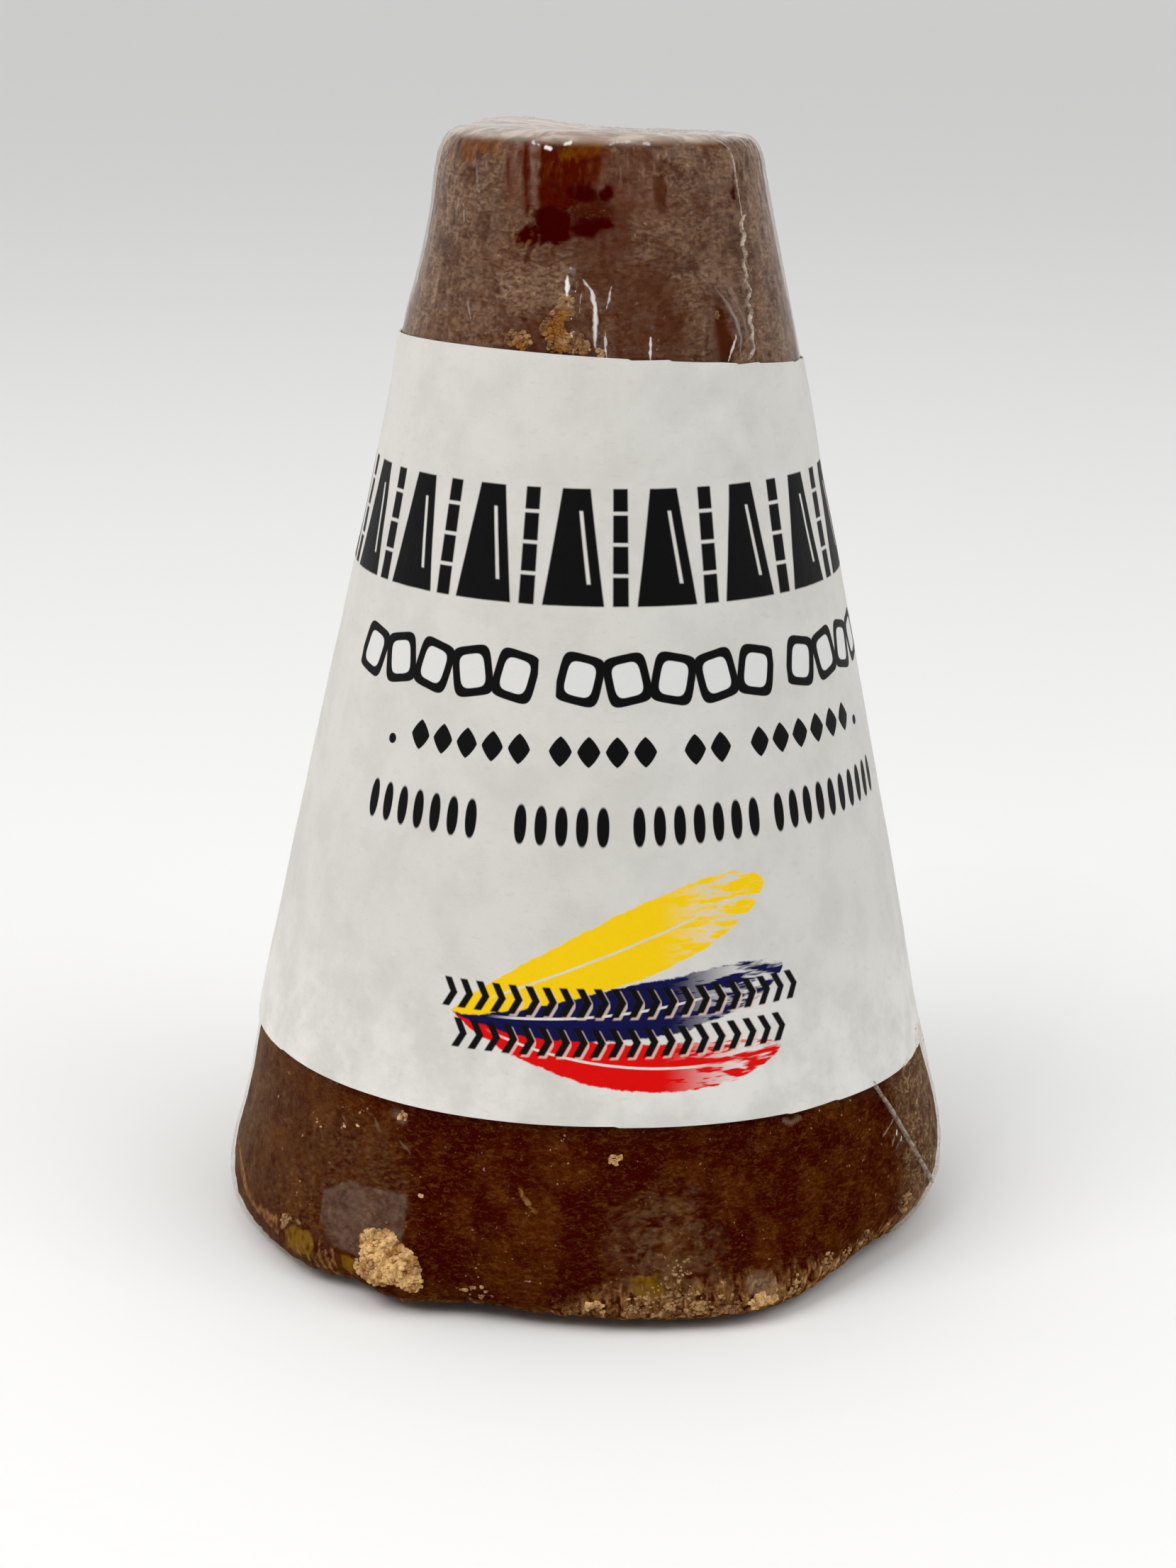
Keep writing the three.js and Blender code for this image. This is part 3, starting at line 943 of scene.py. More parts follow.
# %% Patterns shared by the finishes
class Pattern:
    """Coordinates in millimetres on the cone, and the noises that are read with them."""

    def __init__(self, finish):
        self.finish = finish
        place_in_metres = finish.add("ShaderNodeTexCoord").other("Object")
        self.point = self.vector("MULTIPLY", place_in_metres, (1 / MM,) * 3)
        parts = finish.add("ShaderNodeSeparateXYZ", {}, {0: self.point})
        x, y, self.up = parts, parts.other("Y"), parts.other("Z")
        self.across = x.maths("ARCTAN2", 0 - y) * (180 / math.pi)
        spot = {"X": self.across, "Y": self.up, "Z": 1.0}
        self.spot = finish.add("ShaderNodeCombineXYZ", {}, spot)

    def vector(self, operation, first, second, output=0):
        settings = {"operation": operation}
        return self.finish.add("ShaderNodeVectorMath", settings, {0: first, 1: second}, output)

    def noise(self, size, stretch=(1, 1, 1), detail=3.0, roughness=0.55, distortion=0.0):
        """Soft noise from 0 to 1 with features of that size in millimetres."""
        by = tuple(1 / (size * s) for s in stretch)
        values = {"Vector": self.vector("MULTIPLY", self.point, by), "Scale": 1.0, "Detail": detail}
        values.update({"Roughness": roughness, "Distortion": distortion})
        return self.finish.add("ShaderNodeTexNoise", {}, values)

    def ragged(self):
        """What the edges of the patches are shifted by, in millimetres, in the sugar and in the film."""
        return (self.noise(0.9, detail=4, roughness=0.6) - 0.5) * 2.2

    def slope(self, by_across, by_up, start):
        """across * by_across + up * by_up + start, which a dot product gives in one node."""
        return self.vector("DOT_PRODUCT", self.spot, (by_across, by_up, start), output=1)

    def pane(self, corners, soft, ragged):
        """1 inside a shape with those corners, which go round clockwise and never turn inwards. Its edge
        is soft over that many millimetres to either side, and ragged shifts it."""
        inside = None
        width = math.radians(wall_radius(sum(up for _, up in corners) / len(corners)))
        flat = [(across * width, up) for across, up in corners]
        for (x0, up0), (x1, up1) in zip(flat, flat[1:] + flat[:1]):
            length = math.hypot(x1 - x0, up1 - up0)
            right, rise = (up1 - up0) / length, (x0 - x1) / length
            depth = self.slope(right * width, rise, -x0 * right - up0 * rise)
            inside = depth if inside is None else inside.maths("MINIMUM", depth)
        return (inside + ragged).rise(-soft, soft)

    def panes(self, shapes, soft, ragged):
        return any_of([self.pane(corners, soft, ragged) for corners in shapes])

    def line(self, route, wide, ragged):
        """1 on a line through places on the wall. wide is in millimetres, ragged shifts its edge. A line
        that runs mostly up or down grows thinner towards its two ends."""
        nearest = None
        width = math.radians(wall_radius(route[0][1]))
        flat = [(across * width, up) for across, up in route]
        for (x0, up0), (x1, up1) in zip(flat, flat[1:]):
            length = math.hypot(x1 - x0, up1 - up0)
            run, rise = (x1 - x0) / length, (up1 - up0) / length
            from_middle = self.slope(run * width, rise, -x0 * run - up0 * rise - length / 2)
            off = self.slope(rise * width, -run, up0 * run - x0 * rise)
            past = (from_middle.size() - length / 2).maths("MAXIMUM", 0.0)
            gap = (off * off + past * past).maths("SQRT")
            nearest = gap if nearest is None else nearest.maths("MINIMUM", gap)
        tall = route[0][1] - route[-1][1]
        if abs(tall) > 0.8:
            past_middle = (self.up - (route[0][1] + route[-1][1]) / 2) / (tall / 2)
            nearest = nearest + past_middle * past_middle * (wide * 0.3)
        return (nearest + ragged).fall(wide * 0.1, wide * 0.6)


# %% Masks, tints and layers
def any_of(masks):
    """The union of soft masks."""
    total = masks[0]
    for mask in masks[1:]:
        total = total.maths("MAXIMUM", mask)
    return total


def tint(finish, share, first, second):
    """The colour first where share is 0, and second where it is 1."""
    values = {0: share, 6: first, 7: second}
    return finish.add("ShaderNodeMix", {"data_type": "RGBA"}, values, output=2)


def layer(finish, share, under, over):
    """The shader under where share is 0, and over where it is 1."""
    return finish.add("ShaderNodeMixShader", {}, {0: share, 1: under, 2: over})


def bumped(finish, height, depth):
    """A normal that stands for relief of that depth in millimetres, where height goes from 0 to 1."""
    return finish.add("ShaderNodeBump", {}, {"Height": height, "Distance": depth * MM, "Strength": 1.0})


def dress(piece, material):
    piece.data.materials.clear()
    piece.data.materials.append(material)


# %% [markdown]
# ## Finish of the sugar
# Unrefined sugar is a very dark red-brown. Browner clouds and fine wavy fibres run through it, left by
# the crystals that formed while it cooled, and small pale specks are scattered all over. Where the film
# sticks to the top of the wall the sugar is wet and glows, dark red below and amber towards the rim.
# The broken lower edge is a paler crust, with amber where light passes through. All these are masks
# that mix a few colours. The sugar has no gloss of its own, because the film lies on it.

# %% Colours of the sugar
SUGAR = {
    "deep": (0.034, 0.0014, 0.0002),
    "brown": (0.068, 0.0145, 0.0016),
    "fibre": (0.145, 0.052, 0.010),
    "damp": (0.058, 0.0085, 0.0010),
    "wet": (0.036, 0.0003, 0.0001),
    "wet_brown": (0.066, 0.0036, 0.0002),
    "wet_amber": (0.115, 0.027, 0.0018),
    "curled": (0.044, 0.0040, 0.0006),
    "wet_crystal": (0.105, 0.034, 0.009),
    "rosy": (0.105, 0.030, 0.015),
    "amber": (0.17, 0.050, 0.0028),
    "olive": (0.19, 0.09, 0.002),
    "crust": (0.25, 0.115, 0.034),
    "cream": (0.58, 0.38, 0.21),
    "speck": (0.58, 0.38, 0.27),
}

# %% Patches of the upper wall
WET_PANES = [
    [(-23, 84.6), (-15.3, 85), (-8.4, 84.4), (-9.2, 82.3), (-14, 82), (-18.8, 81.9)],
    [(-10.8, 83.5), (-6, 83.9), (1, 84.2), (5.6, 83.5), (-5.2, 82.4), (-10, 82.9)],
    [(-28.3, 82.7), (-24.5, 83.5), (-20.5, 83.6), (-19, 82.2), (-24.2, 81.8), (-27, 82)],
    [(49.8, 87), (51.4, 87.2), (50.4, 84.9), (48.2, 84.9)],
]
DARK_SPOTS = [
    [(-11.5, 85.9), (-9.4, 86.4), (-4.4, 86.5), (-1.7, 86.1), (-1.2, 85.5), (-5.2, 85.2), (-10.9, 85.4)],
    [(-0.8, 86.0), (1.6, 86.5), (3.8, 86.3), (4.3, 85.6), (1.8, 85.2), (-0.3, 85.3)],
]
MOTTLED_PANE = [(-11.2, 85.4), (-2.2, 85.6), (2.4, 85.3), (5.4, 84.2), (3.4, 82.9), (-9.6, 82.9)]
GLOWING_PANE = [(-22.6, 90.5), (-3, 90.5), (-3, 85.6), (-11.4, 84.4), (-20.8, 84.4)]
GLOWING_END = [(-9, 90.5), (2.2, 90.5), (2.2, 88.4), (-0.6, 86.6), (-9, 85)]
GLOWING_STRIPE = [(-29.4, 89.4), (-26.6, 89.4), (-22.8, 84.6), (-25.0, 84.2)]
DAMP_AND_FOLD_SHADE_PANES = [
    [(150, 87), (172, 86), (168, 79), (154, 77)],
    [(-120, 85), (-100, 86), (-98, 78), (-112, 76)],
    [(-27, 75.6), (-16, 77.2), (-8, 77.4), (-1, 76.2), (-1, 72), (-27, 72)],
    [(-8, 85.6), (9, 87.4), (10, 81.8), (5, 78.4), (-7, 79.0)],
    [(4, 80.5), (22, 80.5), (27, 73), (4.5, 72.5)],
    # Painted shade: the next pane is the dark hollow under the tented fold of the film.
    [(33.6, 78.8), (37.8, 78.4), (41.4, 76), (40.6, 72), (32, 72)],
]
DIM_PANES = [
    [(17.7, 87.1), (21, 87.3), (22.2, 86.6), (21.4, 84.4), (19, 84.4), (17.4, 85.8)],
    [(-22.6, 82.2), (-20.6, 82.2), (-22.6, 80.6), (-23.6, 80.6)],
    [(-34.3, 88.2), (-33.0, 88.2), (-32.0, 86.2), (-33.0, 86.2)],
    # Painted shade: the next pane darkens the hollow under the tented fold of the film.
    [(35.8, 77.4), (37.6, 77.2), (39.6, 75.4), (39.4, 72.6), (35.6, 72.6)],
]
STREAKED_PANE = [(2.3, 89.8), (18.6, 89.8), (16.8, 87.0), (2.6, 86.4)]
ROSY_PANE = [(-38, 90.5), (20, 90.5), (18, 84.6), (4, 83.4), (-34, 84.6)]

# %% Amber rim, and patches and lines of the lower edge
AMBER_RIM = [
    [(-63.5, 89.3), (-48.5, 89.5), (-50.3, 88.0), (-59, 87.9)],
    [(-49.5, 89.4), (-40, 89.3), (-39.6, 88.3), (-49.6, 88.2)],
    [(-14, 89.9), (2, 90), (2, 88.8), (-13, 88.5)],
    [(11, 90.2), (27, 90.2), (25, 89.2), (13, 89.1)],
    [(36, 90.0), (56, 90.0), (52, 89.0), (38, 89.0)],
    [(118, 89.6), (140, 89.6), (136, 87.8), (122, 88.2)],
    [(-152, 89.5), (-126, 89.5), (-131, 88.1), (-146, 87.6)],
]
OLIVE_CHIPS = [
    [(-50.9, 3.5), (-48.6, 4.3), (-45, 4.4), (-43.9, 3.6), (-44.6, 2.5), (-47.4, 2.1), (-50.4, 2.1)],
    [(-38.9, 3.3), (-36.4, 3.6), (-35.6, 2.5), (-37.6, 1.8), (-38.7, 2.4)],
    [(7, 4.9), (11, 5.2), (12.6, 3.2), (8.2, 2.9)],
    [(25.8, 1.9), (29.4, 1.9), (28.9, 0.9), (25.8, 1)],
]
CREAM_LINES = [  # route and width
    ([(-52.0, 3.4), (-51.2, 4.3), (-49.6, 4.9), (-47.6, 4.7)], 0.6),
]
CRUST_LINES = [  # route and width
    ([(-50, 3.4), (-48.6, 2.0)], 0.35),
    ([(-48, 3.6), (-46.6, 1.6)], 0.4),
    ([(-46, 3.6), (-44.6, 1.4)], 0.4),
    ([(-44.4, 3.9), (-43.4, 1.3)], 0.35),
    ([(-43, 4), (-42.2, 1.2)], 0.4),
    ([(-41.8, 3.4), (-41, 1.2)], 0.4),
    ([(-40.6, 3.6), (-40, 1.4)], 0.45),
    ([(-38, 3.0), (-37.4, 1.6)], 0.3),
    ([(-10, 11.9), (-8.8, 10.7), (-7, 9.6)], 0.45),
    ([(-78, 5.4), (-72, 4.6), (-65.7, 3.5), (-61, 3.1), (-53, 2.8)], 1.0),
    ([(-60, 3.4), (-54, 3.7)], 0.8),
    ([(-29.5, 82.8), (-28.5, 82.1)], 0.34),
    ([(-26.3, 82.0), (-24.4, 81.8), (-23, 82.1)], 0.45),
    ([(-24.3, 83.5), (-23.7, 83.0)], 0.32),
    ([(-22.7, 82.9), (-21.7, 82.6)], 0.32),
]


# %% Sugar finish: the wall
def wall_sugar(finish, on, clouds, fibres):
    """Red-brown sugar with browner clouds, paler fibres and dark gaps between these."""
    colour = tint(finish, clouds.rise(0.43, 0.64), SUGAR["deep"], SUGAR["brown"])
    flecks = on.noise(0.45, stretch=(1, 1, 0.6), detail=4, roughness=0.66, distortion=0.9)
    colour = tint(finish, fibres.rise(0.5, 0.7) * (0.2 + clouds * 0.6), colour, SUGAR["fibre"])
    colour = tint(finish, flecks.rise(0.5, 0.68) * 0.42, colour, SUGAR["fibre"])
    gaps = any_of([fibres.fall(0.36, 0.48), flecks.fall(0.34, 0.48)])
    return tint(finish, gaps * 0.7, colour, SUGAR["deep"])


def with_specks(finish, on, clouds, wet, colour):
    """Pale specks all over, but hardly any where the sugar is wet."""
    small = on.noise(0.34, detail=2, roughness=0.5).rise(0.69, 0.77)
    large = on.noise(0.8, detail=3, roughness=0.55).rise(0.72, 0.78)
    specks = any_of([small * clouds.rise(0.35, 0.65), large]) * (1 - wet * 0.8)
    return tint(finish, specks * (0.62 - on.up.rise(50, 76) * 0.25), colour, SUGAR["speck"])


# %% Sugar finish: damp and wet patches
def glow_below_rim(finish, on, ragged, fine, pleats):
    """Wet sugar that light shines through. Gives its colour and its place."""
    amber_share = pleats.rise(0.48, 0.7) * (on.up + ragged * 0.5).rise(86.0, 88.8)
    glow = tint(finish, amber_share, SUGAR["wet_brown"], SUGAR["wet_amber"])
    glow = tint(finish, fine.fall(0.36, 0.5) * on.up.fall(86, 88.6) * 0.7, glow, SUGAR["wet"])
    stripe = on.pane(GLOWING_STRIPE, 0.1, ragged * 0.15)
    middle = on.pane(GLOWING_PANE, 0.3, ragged * 0.5)
    end = on.pane(GLOWING_END, 0.9, ragged * 1.3)
    return glow, any_of([stripe, middle, end])


def with_patches(finish, on, ragged, fine, colour):
    """Patches of the upper wall, from the driest to the wettest. Gives the colour and the wetness."""
    pleats = on.noise(0.42, stretch=(1, 1, 6), detail=2, distortion=0.3)
    # The damp and dim panes also hold painted shade in the hollow under the film's tented fold.
    damp = on.panes(DAMP_AND_FOLD_SHADE_PANES, 0.7, ragged)
    colour = tint(finish, damp * (0.4 + fine * 0.6), colour, SUGAR["damp"])
    dim = on.panes(DIM_PANES, 0.14, ragged * 0.25)
    colour = tint(finish, dim * (0.55 + fine * 0.5), colour, SUGAR["damp"])
    rosy = on.pane(ROSY_PANE, 1.2, ragged)
    colour = tint(finish, rosy * 0.7, colour, SUGAR["rosy"])
    streaked = on.pane(STREAKED_PANE, 0.3, ragged * 0.4) * pleats.rise(0.40, 0.54)
    colour = tint(finish, streaked * 0.9, colour, SUGAR["damp"])
    glow, glowing = glow_below_rim(finish, on, ragged, fine, pleats)
    colour = tint(finish, glowing, colour, glow)
    mottled = on.pane(MOTTLED_PANE, 0.8, ragged * 1.3)
    curls = on.noise(0.55, stretch=(1, 1, 0.6), detail=4, distortion=1.6)
    curled = tint(finish, curls.rise(0.52, 0.7) * 0.75, SUGAR["curled"], SUGAR["wet_crystal"])
    colour = tint(finish, mottled * 0.85, colour, curled)
    wet = any_of([on.panes(WET_PANES, 0.25, ragged * 0.75), on.panes(DARK_SPOTS, 0.22, ragged * 0.3)])
    colour = tint(finish, wet * 0.96, colour, SUGAR["wet"])
    rim = on.panes(AMBER_RIM, 0.35, ragged * 0.9)
    colour = tint(finish, rim * (0.3 + pleats.rise(0.3, 0.6) * 0.6), colour, SUGAR["amber"])
    return colour, any_of([wet, glowing, mottled])


# %% Sugar finish: the broken edge
def with_crust(finish, on, ragged, fine, colour):
    """The pale crust of the lower edge, its clear yellow chips, and a few pale strokes."""
    crust_top = on.across.rise(-9, 7) * 3.1 - on.across.rise(26, 44) * 0.9 + 0.9
    crust = (on.up - crust_top + ragged * 1.6).fall(-0.9, 1.1)
    grain = on.noise(0.55, stretch=(1, 1, 2), detail=4, roughness=0.6, distortion=0.6)
    colour = tint(finish, crust * grain.rise(0.38, 0.6), colour, SUGAR["crust"])
    colour = tint(finish, crust * grain.rise(0.58, 0.68) * 0.8, colour, SUGAR["cream"])
    chips = on.panes(OLIVE_CHIPS, 0.14, ragged * 0.5)
    colour = tint(finish, chips * (0.25 + grain.fall(0.36, 0.64) * 0.75), colour, SUGAR["olive"])
    lines = any_of([on.line(route, wide, (fine - 0.5) * 0.9) for route, wide in CRUST_LINES])
    colour = tint(finish, lines * grain.rise(0.3, 0.6) * on.up.fall(40, 110), colour, SUGAR["crust"])
    lines = any_of([on.line(route, wide, (fine - 0.5) * 1.4) for route, wide in CREAM_LINES])
    return tint(finish, lines * fine.rise(0.25, 0.6) * 0.8, colour, SUGAR["cream"])


# %% Sugar finish
def sugar_finish():
    finish = new_finish("hard_brown_sugar")
    on = Pattern(finish)
    ragged = on.ragged()
    fine = on.noise(0.45, detail=3, roughness=0.6)
    clouds = on.noise(3.4, detail=4, roughness=0.62)
    fibres = on.noise(0.8, stretch=(1, 1, 0.5), detail=5, roughness=0.7, distortion=0.9)
    colour = wall_sugar(finish, on, clouds, fibres)
    colour, wet = with_patches(finish, on, ragged, fine, colour)
    colour = with_crust(finish, on, ragged, fine, colour)
    colour = with_specks(finish, on, clouds, wet, colour)
    normal = bumped(finish, fine * 0.5 + fibres * 0.6, 0.04)
    values = {"Base Color": colour, "Roughness": 0.62 - wet * 0.3, "Normal": normal}
    print("sugar finish", len(finish.tree.nodes), "nodes")
    return finish.end(finish.solid({**values, "Specular IOR Level": 0.0}))


dress(sugar, sugar_finish())

# %% [markdown]
# ## Finish of the crystals
# Loose crystals are paler, because light scatters between them. Each heap mixes two tints with noise
# that is coarser than one grain, so neighbours differ a little.

# %% Crystal finishes
AMBER_CORES = [
    [(-9.6, 77.9), (-8, 77.3), (-9.2, 75.6), (-11.6, 74.9), (-14.2, 75), (-14.8, 75.9), (-12, 77)],
    [(-12.6, 74.9), (-3.4, 74.6), (-3.4, 73.6), (-12.8, 73.6)],
    [(-23.2, 74.9), (-20.8, 75.1), (-19.6, 74.3), (-23, 73.9)],
]
CORE_COLOUR = (0.29, 0.105, 0.010)


def crystal_finish(name, darker, paler):
    """Two tints by noise. Where a heap has an amber core, its grains are clearer and more golden."""
    finish = new_finish(name)
    on = Pattern(finish)
    spread = on.noise(0.5, detail=3, roughness=0.6)
    broad = on.noise(1.5, detail=2)
    colour = tint(finish, (spread + broad).rise(0.78, 1.22), darker, paler)
    cores = on.panes(AMBER_CORES, 0.2, (spread - 0.5) * 1.2)
    colour = tint(finish, cores * (0.55 + spread * 0.6), colour, CORE_COLOUR)
    normal = bumped(finish, on.noise(0.18, detail=2), 0.03)
    values = {"Base Color": colour, "Roughness": 0.5, "Normal": normal, "Specular IOR Level": 0.2}
    return finish.end(finish.solid(values))


dress(pale_crystals, crystal_finish("pale_crystal", (0.33, 0.145, 0.034), (0.82, 0.54, 0.235)))
dress(golden_crystals, crystal_finish("golden_crystal", (0.12, 0.042, 0.009), (0.44, 0.245, 0.105)))
dress(edge_crumbs, crystal_finish("edge_crumb", (0.13, 0.046, 0.010), (0.48, 0.28, 0.115)))

# %% [markdown]
# ## Finish of the film
# Clear film shows in four ways. It lets the sugar through. Where it doesn't touch the sugar, the air
# gap makes it milky, in patches with fairly sharp edges. Along its tightest creases it is painted
# white: painted glints, and partly the whitening of stretched film.
# And it mirrors the room, more so the flatter one looks along it. So the shader is a clear one mixed
# with a milky one by patches, and then with a mirror. The mirror's share goes with a high power of how
# far the film turns away, which is a good stand-in for the Fresnel law. A Fresnel node would take the
# film's far side for the inside of a solid block, and darken the cone's outline.
# On the top face and towards the sides, the milkiness is partly painted reflection of the pale room.

# %% Colours and patches of the film
FILM = {
    "upper": (0.52, 0.33, 0.205),
    "lower": (0.53, 0.34, 0.150),
    "grey": (0.50, 0.375, 0.265),
    # pale tints the crown of the top face, partly painted reflection of the bright room
    "pale": (0.68, 0.58, 0.50),
    # white is painted glints on the creases, partly real whitening of stretched film
    "white": (0.95, 0.90, 0.86),
}
FILM_GLOSS = {"straight": 0.014, "falloff": 5.0, "roughness": 0.07}
HAZE_PANES = [
    [(-44.1, 7.9), (-39, 9.6), (-27.6, 9.8), (-27.4, 6.2), (-31, 4), (-37, 4), (-40, 4.1), (-43.4, 6)],
    [(23.9, 3.3), (24.3, 4.6), (26, 4.9), (28.3, 4.3), (29.6, 2.8), (28.7, 2.2)],
    [(-25.9, 89.2), (-23.2, 89.2), (-21.3, 84.9), (-22.7, 84.9)],
]
FAINT_PANE = [(-62, 14), (-33, 14.6), (-27.8, 10.4), (-27.8, 4), (-64, 4)]
SMOKY_PANE = [(4.6, 9), (7.3, 10.6), (12.8, 11.4), (16.6, 11), (19.6, 8), (20, 4), (12.6, 3.4), (5, 5)]
SOFT_CLEAR_PANES = [
    [(-24.5, 15.6), (60, 15.6), (62, 0), (-26.5, 0)],
    [(98, 13.5), (146, 13), (152, 4), (96, 3.5)],
    [(-170, 12.6), (-138, 12), (-142, 5), (-168, 5.5)],
]
CLEAR_PANES = [*WET_PANES, *DARK_SPOTS, GLOWING_PANE, GLOWING_STRIPE]
FADING_PANES = [MOTTLED_PANE, GLOWING_END]
VEILED_PANE = [(-31, 80.0), (-9, 79.9), (-8, 77.6), (-31, 77.4)]

# %% Places of the painted crease glints, partly whitened film
CREASE_GLINTS_AND_WHITENING = [  # route, width and strength
    ([(-9.4, 79.9), (-9.2, 78.4)], 0.5, 1.0),
    ([(-4.6, 79.6), (-2.2, 78.8), (-1.0, 77.6), (-0.8, 75.4)], 0.42, 0.8),
    ([(-0.9, 78.0), (-0.8, 74.6)], 0.5, 0.7),
    ([(3.5, 79.1), (2.9, 78.2), (2.1, 77.5)], 0.28, 0.5),
    ([(1.9, 75.9), (2.0, 74.6), (2.4, 73.9)], 0.3, 0.6),
    ([(14.6, 75.4), (14.4, 73.6)], 0.28, 0.8),
    ([(35.4, 79.0), (39.4, 77.7), (42.0, 76.5), (43.2, 75.0), (43.7, 73.4)], 0.5, 0.3),
    ([(41.0, 75.3), (40.1, 74.3), (38.5, 73.3)], 0.28, 0.7),
    ([(31.2, 78.6), (31.7, 76.9), (30.6, 74.0)], 0.5, 0.12),
    ([(-42.3, 77.8), (-39.7, 76.3)], 0.3, 0.3),
    ([(-50.7, 84.6), (-48.8, 83.0)], 0.3, 0.3),
    ([(-48.2, 87.8), (-43.9, 85.2)], 0.45, 0.22),
    ([(58.6, 12.3), (55.4, 11.6)], 0.25, 0.25),
    ([(59.1, 11.2), (57.3, 10.3)], 0.3, 0.25),
    ([(60.4, 10.4), (57.8, 9.6)], 0.25, 0.2),
    ([(59.7, 11.2), (59.3, 11.0)], 0.36, 0.9),
    ([(60.9, 10.5), (60.6, 10.3)], 0.3, 0.7),
    ([(-25.2, 89.4), (-24.6, 89.3)], 0.42, 0.55),
    ([(-23.2, 89.3), (-22.6, 89.25)], 0.3, 0.4),
    ([(-19.8, 89.1), (-18.2, 89.0)], 0.4, 0.9),
    ([(-12.6, 89.4), (-11.2, 89.5)], 0.44, 0.8),
    ([(3, 89.4), (4.4, 89.5)], 0.26, 0.4),
    ([(5.4, 89.55), (7.6, 89.6)], 0.22, 0.35),
    ([(8.6, 89.6), (10.4, 89.65)], 0.26, 0.4),
    ([(15.2, 89.5), (16.6, 89.5)], 0.42, 0.5),
    ([(33.4, 15.6), (34.8, 15.2), (36.6, 15.5)], 0.6, 0.16),
    ([(146, 81.0), (150, 78.0), (149, 74.2)], 0.45, 0.5),
    ([(-132, 79.5), (-136, 76.5)], 0.35, 0.45),
    ([(168, 12.0), (171, 9.0), (170, 6.5)], 0.4, 0.2),
    ([(104, 80.0), (102, 76.0)], 0.35, 0.4),
    ([(-31.4, 15.7), (-30.2, 15.4)], 1.2, 0.14),
    ([(-42.6, 14.4), (-41.0, 13.4), (-39.2, 13.6)], 0.4, 0.16),
    ([(-35.6, 15.0), (-34.2, 13.9)], 0.5, 0.14),
    ([(-30.4, 13.8), (-28.2, 13.0)], 0.4, 0.14),
    ([(-47.4, 12.8), (-46.0, 11.6)], 0.4, 0.12),
]


# %% Haze of the film
def upper_haze(on, ragged, mottled, strokes):
    """Milkiness above the label and round the sides, broken up by noise and by upright streaks."""
    upper = on.up.rise(60, 74)
    # Towards the sides, haze and streaks are partly real and partly painted reflection of the pale room.
    outwards = on.across.size().rise(25, 85)
    right = on.across.within(25, 14, 9)
    haze = upper * (right * 0.035 + 0.16) + outwards * 0.13 + (on.noise(9, detail=3) - 0.5) * 0.10
    haze = haze + on.pane(VEILED_PANE, 1.2, ragged) * 0.12
    haze = haze * (0.58 + mottled.rise(0.30, 0.62) * 0.64) * (0.4 + strokes * 1.15)
    touching = on.noise(2.6, detail=5, roughness=0.6).rise(0.535, 0.60)
    upright = on.noise(0.9, stretch=(1, 1, 10), detail=2).rise(0.45, 0.75) * upper
    return haze * (1 - touching * 0.45) + upright * (0.045 + outwards * 0.18)


def lower_haze(on, ragged, mottled, strokes, crisp):
    """The milky places below the label, which fade out towards the back."""
    faint = on.pane(FAINT_PANE, 1.4, ragged * 1.4) * (0.01 + crisp * 0.085)
    smoky = on.pane(SMOKY_PANE, 1.8, ragged * 1.8) * mottled.rise(0.36, 0.62)
    low_wall = on.up.fall(40, 50) * on.across.size().fall(116, 174)
    cloudy = mottled.rise(0.35, 0.65)
    # At the left and right of the low wall the haze is partly painted reflection of the pale room.
    left = on.across.fall(-76, -44) * low_wall * (0.03 + cloudy * strokes * 0.2)
    right = on.across.rise(56, 66) * low_wall * (0.05 + cloudy * crisp * 0.5)
    return [faint, smoky * (0.04 + strokes * 0.17), left, right]


def haze_on(on):
    """How milky the film is from 0 to 1, where its haze is grey, and where it is clear."""
    ragged = on.ragged()
    mottled = on.noise(1.5, stretch=(1, 1, 0.6), detail=5, roughness=0.66, distortion=0.7)
    fine = on.noise(0.45, stretch=(1, 1, 0.6), detail=4, roughness=0.68, distortion=0.8)
    strokes, crisp = fine.rise(0.34, 0.66), fine.rise(0.45, 0.57)
    fading = on.panes(FADING_PANES, 0.8, ragged * 1.3) * 0.95
    soft_clear = on.panes(SOFT_CLEAR_PANES, 1.6, ragged * 1.4) * 0.97
    clear = any_of([on.panes(CLEAR_PANES, 0.3, ragged * 0.6), fading, soft_clear])
    # The damp and dim panes also hold painted shade under the tented fold, where the film is kept clearer.
    damp = on.panes(DAMP_AND_FOLD_SHADE_PANES, 0.9, ragged)
    dim = on.panes(DIM_PANES, 0.14, ragged * 0.25)
    rim = on.panes(AMBER_RIM, 0.35, ragged * 0.9)
    rosy = on.pane(ROSY_PANE, 1.2, ragged)
    haze = upper_haze(on, ragged, mottled, strokes)
    haze = haze * (1 - clear) * (1 - rim * 0.8) * (1 - damp * 0.5) * (1 - dim * 0.75) * (1 - rosy * 0.3)
    grey = on.panes(HAZE_PANES, 0.2, ragged * 0.3)
    grained = 0.06 + mottled.rise(0.34, 0.66) * 0.09 + crisp * 0.07
    haze = any_of([haze, grey * grained, *lower_haze(on, ragged, mottled, strokes, crisp)])
    pleats = on.noise(0.45, stretch=(1, 1, 9), detail=2).rise(0.5, 0.7) * on.up.rise(84, 88)
    haze = (haze + pleats * (1 - rim) * (1 - clear * 0.8) * 0.16).maths("MAXIMUM", 0.0)
    return haze, grey, clear


# %% Film finish
def crease_glints_and_whitening(on):
    """How white the film is painted along its tightest creases: painted glints, partly whitened film."""
    uneven = on.noise(0.5, detail=2)
    crooked = (uneven - 0.5) * 0.35
    lines = [on.line(route, wide, crooked) * strength for route, wide, strength in CREASE_GLINTS_AND_WHITENING]
    return any_of(lines) * (0.6 + uneven * 0.7)


